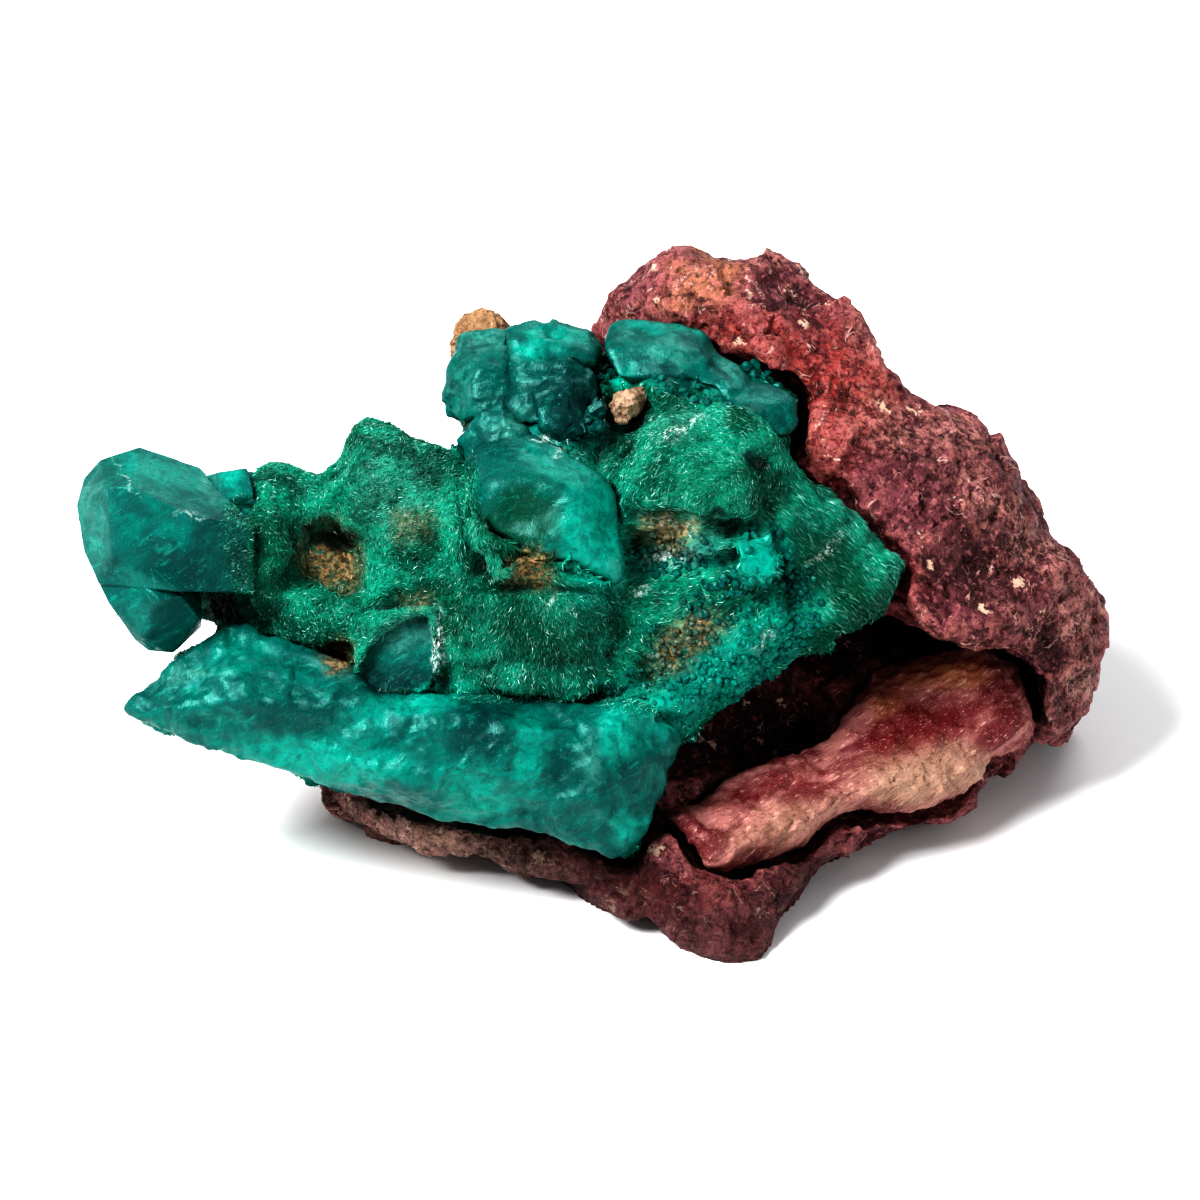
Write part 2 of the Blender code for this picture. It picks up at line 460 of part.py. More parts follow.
# The large crystals, by the corners of their faces: what shows first, then what is buried
CRYSTALS = {
    "left_crystal": [
        (-24.7, 23.9, 2.0), (-23.3, 23.7, 2.6), (-20.3, 22.3, 3.0), (-17.5, 21.9, 2.6),
        (-17.5, 18.6, 2.0), (-21.0, 18.3, 2.2), (-24.2, 20.2, 1.9), (-26.15, 22.9, -0.3),
        (-25.8, 24.2, -0.6), (-25.9, 20.6, 0.0), (-25.0, 19.2, 0.7), (-25.1, 25.2, -1.2),
        (-24.1, 25.3, -0.8), (-23.1, 25.9, -2.0), (-22.1, 25.4, -2.0), (-20.1, 24.8, -2.2),
        (-19.8, 23.5, 0.6), (-25.4, 22.5, -3.2), (-23.5, 24.6, -4.0), (-20.5, 23.8, -4.2),
        (-18.0, 22.0, -4.0), (-18.0, 18.8, -3.0), (-22.0, 18.8, -2.8), (-24.8, 20.5, -2.6),
    ],
    "left_foot": [
        (-25.2, 19.3, 0.4), (-24.6, 18.0, 0.6), (-23.9, 17.2, 0.3), (-23.3, 16.1, -0.4),
        (-22.6, 15.6, -1.2), (-21.4, 15.5, -1.6), (-21.0, 15.9, -0.8), (-20.0, 17.2, 0.2),
        (-20.8, 18.3, 1.6), (-22.8, 19.0, 1.5), (-24.2, 20.2, 1.2), (-22.0, 18.2, 1.8),
        (-22.9, 16.3, 0.4), (-23.5, 18.5, -2.6), (-22.5, 16.5, -3.0), (-20.0, 16.8, -3.2),
        (-20.0, 18.5, -3.0),
    ],
    "neck": [
        (-19.9, 24.4, -1.8), (-19.1, 24.6, -1.2), (-17.7, 24.8, -1.4), (-17.4, 23.4, -0.4),
        (-19.0, 23.2, -0.2), (-19.8, 23.1, -1.0), (-19.5, 24.0, -4.0), (-17.4, 24.4, -4.0),
        (-18.0, 21.5, -4.0), (-17.5, 21.5, -1.0),
    ],
    "window": [
        (-12.4, 17.5, 1.2), (-11.3, 17.9, 1.2), (-8.4, 17.8, 1.4), (-8.0, 14.6, 1.4),
        (-9.0, 13.3, 1.3), (-11.8, 13.3, 1.1), (-12.5, 14.2, 1.1), (-7.8, 17.6, 0.6),
        (-7.7, 14.8, 0.7), (-12.0, 17.0, -3.0), (-8.0, 17.0, -3.0), (-8.0, 14.0, -3.0),
        (-12.0, 14.0, -3.0),
    ],
    "heart": [
        (-5.6, 23.4, 2.5), (-4.4, 24.2, 2.3), (-2.0, 23.8, 2.5), (-1.2, 22.4, 2.8),
        (-1.4, 20.2, 3.0), (-2.6, 19.2, 3.0), (-5.2, 19.4, 2.8), (-6.0, 21.0, 2.6),
        (-6.7, 25.4, -0.6), (-6.2, 26.1, -0.6), (-5.0, 26.6, -0.6), (-3.2, 26.5, -0.4),
        (-2.1, 25.8, 0.0), (0.0, 24.6, 0.4), (0.8, 23.5, 0.5), (0.9, 21.8, 0.9),
        (1.2, 19.1, 1.2), (0.2, 18.8, 1.8), (-6.6, 20.5, -1.0), (-5.5, 18.4, -1.0),
        (-6.0, 25.0, -4.0), (-1.0, 24.0, -4.0), (0.5, 20.0, -3.0), (-4.0, 18.0, -3.0),
    ],
    "crown_left": [
        (-7.4, 30.4, -3.6), (-7.0, 31.4, -4.0), (-6.2, 31.8, -4.2), (-5.0, 31.8, -4.2),
        (-4.8, 30.3, -2.2), (-7.9, 28.4, -3.2), (-7.7, 27.4, -3.2), (-6.2, 29.8, -1.8),
        (-6.0, 27.3, -1.6), (-4.5, 28.5, -1.4), (-6.8, 30.5, -6.5), (-5.0, 30.8, -6.5),
        (-7.2, 28.0, -6.0), (-5.0, 27.0, -5.5),
    ],
    "crown_top": [
        (-4.8, 31.6, -4.0), (-3.6, 32.0, -4.2), (-2.2, 32.1, -4.4), (-1.0, 31.6, -4.4),
        (0.0, 31.0, -4.4), (-0.4, 30.2, -3.2), (-2.6, 30.4, -2.8), (-4.4, 30.2, -2.6),
        (-3.4, 31.2, -3.0), (-4.2, 31.0, -7.0), (-1.0, 30.8, -7.0), (-0.5, 29.0, -6.0),
        (-4.0, 29.0, -6.0),
    ],
    "crown_right": [
        (-3.3, 30.0, -2.4), (-1.6, 30.3, -2.2), (-0.3, 29.4, -2.4), (0.1, 28.2, -2.2),
        (0.0, 26.4, -1.6), (-1.6, 26.2, -1.0), (-2.8, 27.0, -0.9), (-3.6, 28.6, -1.4),
        (-1.8, 28.6, -0.9), (-3.0, 29.5, -5.0), (-0.4, 29.0, -5.0), (-0.3, 26.0, -4.0),
        (-3.0, 26.0, -4.0),
    ],
    "crown_wedge": [
        (-5.0, 28.3, -0.6), (-3.6, 26.8, -0.6), (-4.7, 26.6, 0.3), (-7.2, 26.2, -1.4),
        (-6.4, 25.0, -0.8), (-3.5, 25.5, -0.2), (-5.0, 27.5, -4.0), (-7.0, 25.8, -4.0),
        (-4.0, 25.2, -3.0),
    ],
    "shoulder": [
        (0.4, 31.9, -4.4), (1.0, 32.2, -4.8), (3.0, 32.2, -4.8), (4.6, 31.8, -4.8),
        (5.3, 31.5, -4.6), (6.1, 30.5, -4.2), (0.3, 30.8, -3.0), (2.0, 30.9, -2.8),
        (4.8, 30.9, -2.8), (5.5, 30.1, -2.6), (5.0, 29.4, -2.4), (2.0, 29.2, -2.0),
        (4.0, 29.2, -2.0), (0.9, 29.3, -2.2), (1.0, 31.0, -7.0), (5.0, 30.5, -7.0),
        (2.0, 28.5, -5.0), (5.0, 28.5, -5.0),
    ],
    "shoulder_end": [
        (6.4, 29.6, -3.4), (8.2, 29.0, -3.6), (9.4, 28.6, -3.6), (9.9, 28.2, -3.4),
        (10.0, 27.0, -2.8), (9.2, 26.3, -1.8), (7.4, 27.4, -1.2), (6.0, 28.6, -1.8),
        (6.5, 29.0, -6.0), (9.6, 27.8, -6.0), (9.4, 26.4, -5.0), (6.5, 26.5, -4.0),
    ],
    "lower_left": [
        (-24.1, 12.6, -1.4), (-23.6, 13.3, -1.2), (-22.2, 14.0, -1.0), (-20.5, 16.0, -0.8),
        (-18.0, 17.1, -0.5), (-15.0, 16.2, 0.0), (-12.4, 15.0, 0.4), (-10.8, 12.9, 1.8),
        (-17.5, 12.9, 1.9), (-22.2, 12.8, 0.1), (-23.3, 11.9, -0.8), (-21.3, 11.2, -0.9),
        (-18.2, 11.1, -0.7), (-16.9, 10.0, -0.8), (-12.0, 8.8, 0.2), (-22.0, 13.0, -3.2),
        (-18.0, 15.5, -4.0), (-14.0, 15.0, -4.0), (-14.0, 10.0, -4.0), (-18.0, 11.5, -3.5),
    ],
    "lower_middle": [
        (-14.5, 13.4, 0.6), (-9.0, 13.6, 1.0), (-5.0, 13.6, 0.8), (-1.6, 13.0, 0.6),
        (-13.0, 11.2, 1.6), (-7.0, 11.8, 2.8), (-4.6, 12.0, 2.8), (-1.6, 11.4, 2.2),
        (-4.8, 9.6, 2.6), (-9.5, 9.0, 1.9), (-14.6, 9.2, -0.5), (-11.0, 8.1, -0.6),
        (-8.5, 7.2, -0.9), (-5.0, 6.6, -0.7), (-1.6, 6.5, -0.4), (-1.4, 9.4, 1.8),
        (-12.0, 12.0, -4.0), (-4.0, 12.0, -4.0), (-4.0, 8.0, -3.5), (-10.0, 8.5, -4.0),
    ],
    "lower_right": [
        (-3.8, 12.6, 0.8), (2.0, 13.1, 0.9), (4.4, 11.4, -0.2), (2.6, 9.0, 0.2), (2.2, 8.1, 0.2),
        (2.4, 6.6, -0.2), (1.7, 6.0, -0.4), (0.6, 5.3, -0.2), (-0.6, 5.8, -0.2),
        (-3.0, 6.5, -0.2), (-3.8, 8.1, 1.4), (-0.6, 10.8, 2.6), (-0.4, 8.4, 2.4),
        (-3.6, 10.8, 1.7), (1.2, 9.8, 1.7), (-2.0, 12.0, -3.5), (3.5, 11.0, -3.5),
        (2.0, 7.5, -3.0), (0.0, 7.0, -3.0), (-2.0, 8.0, -3.0),
    ],
    "brown_pocket": [
        (3.6, 22.0, 0.2), (6.4, 22.2, 0.4), (6.6, 20.8, 1.2), (5.2, 20.2, 1.3), (3.8, 20.9, 0.8),
        (4.0, 22.0, -3.0), (6.5, 22.0, -3.0), (6.5, 20.5, -3.0), (4.0, 20.5, -3.0),
    ],
    "turquoise_step": [
        (6.8, 21.3, 0.6), (8.2, 21.6, 0.4), (9.4, 20.6, 0.4), (9.2, 19.4, 0.8), (7.6, 18.9, 1.2),
        (6.9, 19.4, 1.3), (7.0, 21.0, -3.0), (9.2, 20.5, -3.0), (9.0, 19.5, -3.0),
        (7.0, 19.5, -3.0),
    ],
}


def make_cluster():
    mesh = bmesh.new()
    add_stone(mesh, CRUST, front=(4.2, 3.2), back=(4.0, 3.0), bumps=CRUST_RELIEF)
    add_stone(mesh, SADDLE, front=(2.4, 2.0), back=(4.0, 3.0), bumps=SADDLE_RELIEF)
    add_stone(mesh, DOME, front=(5.0, 4.2), back=(3.0, 3.0))
    add_stone(mesh, SHOULDER, front=(2.4, 2.0), back=(3.0, 2.0))
    add_stone(mesh, WING, front=(1.8, 1.6), back=(1.6, 1.2))
    add_stone(mesh, LOWER_MASS, front=(2.4, 2.4), back=(2.6, 2.6), bumps=LOWER_RELIEF)
    add_stone(mesh, HEART, front=(4.6, 2.6), back=(3.0, 2.0))
    add_stone(mesh, CROWN, front=(4.4, 2.2), back=(3.0, 2.4))
    cluster = link_mesh("dioptase_cluster", mesh)
    merge_stones(cluster)
    roughen(cluster, waves=((4.0, 0.7), (1.6, 0.4)))
    thin_out(cluster, 3300)
    crystals = [crystal_object(name, corners) for name, corners in CRYSTALS.items()]
    combine(cluster, crystals, "UNION")
    keep_largest(cluster)
    return cluster


# The seam and the two ochre pieces

SEAM = [
    (2.9, 7.6, -2.6), (5.0, 8.0, -4), (7.0, 9.4, -5.5), (9.5, 10.3, -6.5), (11.6, 11.2, -7.5),
    (12.6, 12.8, -9), (13.8, 15.0, -10.5), (16.5, 15.3, -10.8), (19.5, 15.6, -11), (21.5, 14.9, -11),
    (22.1, 13.0, -10.5), (22.2, 11.7, -10), (21.7, 10.7, -10), (20.0, 9.9, -9.5), (19.8, 9.0, -9.2),
    (18.7, 8.3, -8.4), (17.0, 7.6, -7.4), (15.0, 7.2, -6.4), (13.0, 7.2, -5.4), (11.5, 6.6, -4.6),
    (10.0, 5.6, -3.6), (8.0, 5.0, -2.6), (6.0, 4.4, -1.6), (5.0, 4.8, -1.2), (4.2, 6.3, -1.6),
]

OCHRE_LUMP = [
    (-7.6, 30.2, -10), (-7.5, 31.7, -10), (-7.0, 32.8, -10), (-6.0, 33.3, -10), (-5.0, 33.0, -10),
    (-4.2, 32.1, -10), (-4.1, 30.0, -10), (-5.0, 28.0, -10), (-7.0, 28.5, -10),
]

OCHRE_CHIP = [
    (0.3, 27.7, -2.2), (0.6, 28.5, -2.2), (1.4, 28.9, -2.2), (2.3, 28.9, -2.4), (2.5, 28.3, -2.2),
    (1.9, 27.4, -1.8), (1.3, 26.8, -1.6), (0.8, 26.9, -1.8),
]


def make_small_stone(name, rim, front, back, waves, triangles):
    mesh = bmesh.new()
    add_stone(mesh, rim, front, back)
    stone = link_mesh(name, mesh)
    merge_stones(stone, 0.3)
    roughen(stone, waves)
    thin_out(stone, triangles)
    return stone


def main():
    for item in list(bpy.data.objects):
        bpy.data.objects.remove(item)
    cluster = make_cluster()
    chip = make_small_stone("ochre_chip", OCHRE_CHIP, (1.4, 0.9), (1.6, 0.8), ((1.2, 0.25),), 260)
    lump = make_small_stone("ochre_lump", OCHRE_LUMP, (1.9, 1.3), (2.2, 1.3), ((1.6, 0.4),), 400)
    seam = make_small_stone("calcite_seam", SEAM, (1.5, 1.6), (1.8, 1.4), ((3.5, 0.5),), 900)
    rock = make_rock()
    combine(cluster, [room_for([chip], 0.8 * CLEARANCE)], "DIFFERENCE")
    keep_largest(cluster)
    thin_out(cluster, 4200)
    combine(lump, [room_for([cluster], CLEARANCE)], "DIFFERENCE")
    merge_stones(lump, 0.3)
    keep_largest(lump)
    thin_out(lump, 320)
    combine(rock, [room_for([cluster, lump, seam], CLEARANCE)], "DIFFERENCE")
    press_flat_base(rock)
    merge_stones(rock)
    keep_largest(rock)
    thin_out(rock, 3800)
    press_flat_base(rock, 0.3)
    join_close_points(rock)
    finish(rock, (0.19, 0.055, 0.06), 0.8)
    finish(cluster, (0.01, 0.27, 0.2), 0.3)
    finish(seam, (0.55, 0.28, 0.22), 0.4)
    finish(lump, (0.42, 0.25, 0.12), 0.8)
    finish(chip, (0.42, 0.31, 0.22), 0.8)


main()
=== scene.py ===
"""The looks of a dioptase specimen: glassy crystals, a crust of fine needles, the rock below.

Places on the specimen are given on its crystal face, which leans back: u runs across it
to the right, v runs up it, and w stands out of it towards the viewer, all in millimetres.
"""

import math
from collections import namedtuple

import bmesh
import bpy
import numpy as np
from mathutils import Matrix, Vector, noise


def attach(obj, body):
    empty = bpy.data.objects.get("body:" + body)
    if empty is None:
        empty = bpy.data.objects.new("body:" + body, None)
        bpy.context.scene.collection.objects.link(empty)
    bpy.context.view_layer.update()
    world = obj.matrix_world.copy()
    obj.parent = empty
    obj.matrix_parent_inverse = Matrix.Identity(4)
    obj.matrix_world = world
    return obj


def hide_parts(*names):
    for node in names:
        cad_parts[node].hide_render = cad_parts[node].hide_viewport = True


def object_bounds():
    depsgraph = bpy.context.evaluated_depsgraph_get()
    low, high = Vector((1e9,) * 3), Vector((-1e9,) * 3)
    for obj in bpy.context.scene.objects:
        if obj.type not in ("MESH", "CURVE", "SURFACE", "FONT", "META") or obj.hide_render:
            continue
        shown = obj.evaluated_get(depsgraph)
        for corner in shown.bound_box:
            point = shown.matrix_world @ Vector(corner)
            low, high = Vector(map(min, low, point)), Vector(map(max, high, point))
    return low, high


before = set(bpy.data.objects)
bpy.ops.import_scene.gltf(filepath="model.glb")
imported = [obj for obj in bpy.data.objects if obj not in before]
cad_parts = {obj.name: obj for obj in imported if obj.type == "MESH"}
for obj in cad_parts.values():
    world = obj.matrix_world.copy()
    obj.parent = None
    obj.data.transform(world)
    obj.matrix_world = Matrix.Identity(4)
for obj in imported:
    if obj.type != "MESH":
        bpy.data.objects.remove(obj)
cad_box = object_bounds()

MM = 0.001
LEAN_SIN, LEAN_COS = math.sin(math.radians(30.0)), math.cos(math.radians(30.0))
BASE_CENTRE = (-0.1, 17.1)  # middle of the footprint, in mm, before it is moved to the origin
SURFACE_INSET = 0.2  # mm that the green crust keeps below its solid, so that needles end on it
VIEW_CENTRE = (0.0, 18.15)  # u and v that the camera looks at
VIEW_WIDTH = 0.06  # metres across the picture
VIEW_DISTANCE = 0.62
SENSOR = 36.0

# How far apart the points of each surface lie, in mm
ROCK_STEP = 0.28
CRUST_STEP = 0.21
MASS_STEP = 0.16
SEAM_STEP = 0.16
STONE_STEP = 0.08
CRYSTAL_STEP = 0.25


# The leaning face

def face_point(u, v, w):
    """The upright position, in metres, of a point on the leaning face, in mm."""
    x = u - BASE_CENTRE[0]
    y = v * LEAN_SIN - w * LEAN_COS - BASE_CENTRE[1]
    z = v * LEAN_COS + w * LEAN_SIN
    return Vector((x, y, z)) * MM


def upright_points(places):
    """The upright positions in metres of places (u, v, w) in mm, one row each."""
    return (upright(places) - np.array([*BASE_CENTRE, 0.0])) * MM


def face_places(points):
    """The (u, v, w) in mm of upright points in metres, one row each."""
    x, y, z = (points / MM).T
    y = y + BASE_CENTRE[1]
    across = x + BASE_CENTRE[0]
    return np.stack([across, y * LEAN_SIN + z * LEAN_COS, z * LEAN_SIN - y * LEAN_COS], axis=1)


def upright(directions):
    """The upright form of directions (du, dv, dw) on the leaning face, one row each."""
    du, dv, dw = directions.T
    return np.stack([du, dv * LEAN_SIN - dw * LEAN_COS, dv * LEAN_COS + dw * LEAN_SIN], axis=1)


FACE_OUT = upright(np.array([[0.0, 0.0, 1.0]]))[0]  # straight out of the crystal face


def unit(vectors):
    return vectors / np.maximum(np.linalg.norm(vectors, axis=1, keepdims=True), 1e-12)


# Patterns worked out for many points at once, with features of about size mm

def noise_at(points, size, seed):
    shift = Vector((seed, 1.7 * seed, -seed))
    scale = 1.0 / (size * MM)
    return np.array([noise.noise(Vector(p) * scale + shift) for p in points])


def ridges_at(points, size, seed):
    """1 along the crests of the noise, falling to about 0 away from them."""
    return 1.0 - 2.0 * np.abs(noise_at(points, size, seed))


def chips_at(points, size, seed):
    """Height of a broken surface: each cell of a random pattern is a flat, tilted facet."""
    shift = Vector((seed, -seed, 2.3 * seed))
    scale = 1.0 / (size * MM)
    heights = np.empty(len(points))
    for i, point in enumerate(points):
        place = Vector(point) * scale + shift
        cell = noise.voronoi(place)[1][0]
        tilt = noise.cell_vector(cell * 7.3) * 2.0 - Vector((1.0, 1.0, 1.0))
        heights[i] = (place - cell).dot(tilt)
    return heights


def wavering(points, size, reach):
    """Offsets in (u, v) that make the edge of a painted patch irregular."""
    return reach * np.stack([noise_at(points, size, 41.0), noise_at(points, size, 43.0)], axis=1)


def painted(places, patches):
    """How strongly each place lies in the patches, 0 to 1. Each patch is
    (u, v, reach across, reach up, turn in degrees, strength)."""
    total = np.zeros(len(places))
    for u, v, across, up, turn, strength in patches:
        cosine, sine = math.cos(math.radians(turn)), math.sin(math.radians(turn))
        du, dv = places[:, 0] - u, places[:, 1] - v
        spread = ((du * cosine + dv * sine) / across) ** 2 + ((dv * cosine - du * sine) / up) ** 2
        total = np.maximum(total, strength * np.exp(-(spread ** 2)))
    return total


# Meshes

def link_mesh(name, mesh):
    made = bpy.data.objects.new(name, mesh)
    bpy.context.scene.collection.objects.link(made)
    return made


def link_shape(name, shape):
    """A new object with the shape, a bmesh that is used up, as its mesh."""
    mesh = bpy.data.meshes.new(name)
    shape.to_mesh(mesh)
    shape.free()
    return link_mesh(name, mesh)


def copy_of(node, name):
    """A new object with a copy of a CAD node's mesh."""
    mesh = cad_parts[node].data.copy()
    mesh.materials.clear()
    return link_mesh(name, mesh)


def apply_modifiers(piece):
    graph = bpy.context.evaluated_depsgraph_get()
    piece.data = bpy.data.meshes.new_from_object(piece.evaluated_get(graph))
    piece.modifiers.clear()


def skin(piece, step):
    """Gives the piece one even skin, with points about step mm apart."""
    remesh = piece.modifiers.new("skin", "REMESH")
    remesh.mode = "VOXEL"
    remesh.voxel_size = step * MM
    apply_modifiers(piece)


def points_of(piece):
    flat = np.empty(3 * len(piece.data.vertices))
    piece.data.vertices.foreach_get("co", flat)
    return flat.reshape(-1, 3)


def normals_of(piece):
    flat = np.empty(3 * len(piece.data.vertices))
    piece.data.vertices.foreach_get("normal", flat)
    return flat.reshape(-1, 3)


def move_points(piece, points):
    """Puts the points in place, kept inside the box of the CAD part."""
    low, high = np.array(cad_box[0]), np.array(cad_box[1])
    piece.data.vertices.foreach_set("co", np.clip(points, low, high).ravel())
    piece.data.update()


def store(piece, name, values):
    """Keeps one number per vertex, for the material to read by its name."""
    attribute = piece.data.attributes.new(name, "FLOAT", "POINT")
    attribute.data.foreach_set("value", np.asarray(values, dtype=np.float32))


def smoothed(piece, rounds):
    """The points after so many rounds of moving each towards its neighbours."""
    ends = np.empty(2 * len(piece.data.edges), dtype=int)
    piece.data.edges.foreach_get("vertices", ends)
    tails, heads = ends.reshape(-1, 2).T
    smooth = points_of(piece)
    count = len(smooth)
    neighbours = np.bincount(tails, minlength=count) + np.bincount(heads, minlength=count)
    for _ in range(rounds):
        for axis in range(3):
            values = smooth[:, axis]
            total = np.bincount(tails, values[heads], count) + np.bincount(heads, values[tails], count)
            smooth[:, axis] = 0.5 * (values + total / neighbours)
    return smooth


def hollowness(piece, rounds):
    """How far each point lies below the average of its surroundings, in mm. More rounds
    take in wider surroundings."""
    sunk = smoothed(piece, rounds) - points_of(piece)
    return (sunk * normals_of(piece)).sum(axis=1) / MM


def shade_smooth(piece, sharp_angle):
    """Smooth shading, apart from edges that turn by more than sharp_angle degrees."""
    piece.data.shade_smooth()
    piece.data.set_sharp_from_angle(angle=math.radians(sharp_angle))


def keep_largest(piece):
    """Deletes every loose shell but the one with the most faces."""
    mesh = bmesh.new()
    mesh.from_mesh(piece.data)
    shells, seen = [], set()
    for face in mesh.faces:
        if face in seen:
            continue
        shell, todo = [], [face]
        seen.add(face)
        while todo:
            at = todo.pop()
            shell.append(at)
            for edge in at.edges:
                for other in edge.link_faces:
                    if other not in seen:
                        seen.add(other)
                        todo.append(other)
        shells.append(shell)
    shells.sort(key=len)
    spare = [face for shell in shells[:-1] for face in shell]
    bmesh.ops.delete(mesh, geom=spare, context="FACES")
    mesh.to_mesh(piece.data)
    mesh.free()


def place_piece(piece, node, material):
    """Gives the piece its material, hangs it under the root body and hides the CAD part that it stands for.
    """
    piece.data.materials.clear()
    piece.data.materials.append(material)
    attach(piece, "root")
    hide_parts(node)


# Materials

class Paint:
    """A material under construction. Values that are node sockets are wired, others are set."""

    def __init__(self, name):
        self.material = bpy.data.materials.new(name)
        self.material.use_nodes = True
        self.tree = self.material.node_tree
        self.shader = self.tree.nodes["Principled BSDF"]
        self.place = self.node("ShaderNodeTexCoord").outputs["Object"]

    def node(self, kind, inputs=(), **settings):
        made = self.tree.nodes.new(kind)
        for key, value in settings.items():
            setattr(made, key, value)
        for key, value in dict(inputs).items():
            self.give(made.inputs[key], value)
        return made

    def give(self, socket, value):
        if isinstance(value, bpy.types.NodeSocket):
            self.tree.links.new(value, socket)
        else:
            socket.default_value = value

    def surface(self, **values):
        """Sets the shader's sockets, named with _ for a space."""
        for key, value in values.items():
            self.give(self.shader.inputs[key.replace("_", " ")], value)

    def stored(self, name):
        return self.node("ShaderNodeAttribute", attribute_name=name).outputs["Fac"]

    def stretched(self, turn, lengths):
        """The place in a frame turned by three angles in degrees and stretched by three lengths."""
        step = self.node("ShaderNodeMapping", {"Vector": self.place}, vector_type="TEXTURE")
        step.inputs["Rotation"].default_value = [math.radians(angle) for angle in turn]
        step.inputs["Scale"].default_value = lengths
        return step.outputs["Vector"]

    def clouds(self, size, detail, roughness=0.6, distortion=0.0, place=None):
        """Noise with features of about size mm."""
        made = self.node("ShaderNodeTexNoise", {
            "Vector": place or self.place, "Scale": 1.0 / (size * MM), "Detail": detail,
            "Roughness": roughness, "Distortion": distortion,
        })
        return made.outputs["Fac"]

    def cells(self, size, feature="F1", output="Distance", place=None):
        """A pattern of irregular cells of about size mm."""
        inputs = {"Vector": place or self.place, "Scale": 1.0 / (size * MM)}
        return self.node("ShaderNodeTexVoronoi", inputs, feature=feature).outputs[output]

    def math(self, operation, first, second=0.0):
        return self.node("ShaderNodeMath", {0: first, 1: second}, operation=operation).outputs[0]

    def product(self, first, second):
        return self.math("MULTIPLY", first, second)

    def ramp(self, value, low, high, start=0.0, end=1.0):
        """Goes from start to end as value goes from low to high."""
        made = self.node("ShaderNodeMapRange", {
            "Value": value, "From Min": low, "From Max": high, "To Min": start, "To Max": end,
        }, interpolation_type="SMOOTHSTEP")
        return made.outputs["Result"]

    def mix(self, under, over, amount, blend="MIX"):
        inputs = {0: amount, 6: under, 7: over}
        return self.node("ShaderNodeMix", inputs, data_type="RGBA", blend_type=blend).outputs[2]

    def laid(self, under, over, value, low, high, most):
        """Lays one colour over another, up to most, as value goes from low to high."""
        return self.mix(under, over, self.ramp(value, low, high, 0.0, most))

    def patched(self, under, over, name, most):
        """Lays one colour over another, up to most, in the patches stored under a name."""
        return self.mix(under, over, self.product(self.stored(name), most))

    def relief(self, height, depth, strength, normal=None):
        """A bump of depth mm. Returns the normal for the shader or for a further bump."""
        inputs = {"Height": height, "Distance": depth * MM, "Strength": strength}
        if normal is not None:
            inputs["Normal"] = normal
        return self.node("ShaderNodeBump", inputs).outputs["Normal"]


def tone(red, green, blue):
    """A shader colour from the 0 to 255 values of a screen colour."""
    screen = [value / 255 for value in (red, green, blue)]
    linear = [((c + 0.055) / 1.055) ** 2.4 if c > 0.04 else c / 12.92 for c in screen]
    return (*linear, 1.0)


# The rock

# Where it is tan, brick red, dark (in part painted shade in crevices), dusty (in part a painted highlight
# along the right edge), grey, or low and in painted shade
ROCK_PATCHES = {
    "tan": [(5.4, 34.3, 1.9, 1.3, -20, 1.0), (4.2, 33.2, 1.4, 0.8, 0, 0.8), (1.7, 31.8, 0.8, 0.8, 0, 0.4),
            (1.8, 3.2, 0.3, 0.2, 0, 0.9), (-9.0, 6.3, 3.0, 0.7, -10, 0.6),
            (11.0, 6.8, 2.0, 0.6, 20, 0.5)],
    "brick": [(11.0, 28.6, 5.0, 3.6, 20, 1.0), (7.5, 31.2, 3.0, 1.8, 0, 0.9),
              (10.4, 24.6, 2.2, 1.6, 0, 0.7), (14.0, 19.6, 3.0, 1.2, -20, 0.7),
              (4.0, 3.6, 3.0, 1.0, 0, 0.6)],
    "dark": [(9.6, 33.2, 1.1, 0.5, 0, 1.0), (19.0, 20.2, 3.2, 2.6, 0, 0.75), (21.8, 14.2, 2.8, 2.6, 0, 0.6),
             (6.0, 10.6, 5.0, 2.8, 15, 1.0), (12.5, 15.6, 3.6, 1.2, 15, 1.0), (17.6, 16.0, 1.6, 0.8, 0, 0.9),
             (21.6, 15.6, 2.2, 0.5, 10, 0.9), (16.0, 25.6, 2.0, 1.0, -30, 0.6)],
    "dust_and_highlight": [(8.5, 35.6, 1.8, 0.7, 0, 0.9), (14.2, 27.0, 2.2, 1.6, -40, 0.6),
             (19.4, 23.4, 2.4, 1.4, -40, 0.8), (22.6, 20.4, 2.6, 1.2, -45, 1.0),
             (24.6, 14.0, 1.0, 1.4, 0, 0.9), (18.0, 26.6, 2.4, 0.9, -10, 0.7),
             (24.4, 17.4, 1.6, 1.8, 0, 0.9), (20.6, 17.6, 1.4, 0.6, -30, 0.6),
             (13.6, 31.4, 1.0, 2.2, 20, 0.5)],
    "grey": [(24.6, 13.9, 0.8, 0.9, 0, 0.8), (-8.0, 6.0, 6.4, 1.6, -14, 1.0),
             (22.0, 12.6, 2.4, 1.0, -20, 0.5)],
    "low": [(2.0, 2.6, 9.0, 3.0, -16, 1.0), (10.0, 3.4, 3.6, 2.6, 30, 0.8)],
}


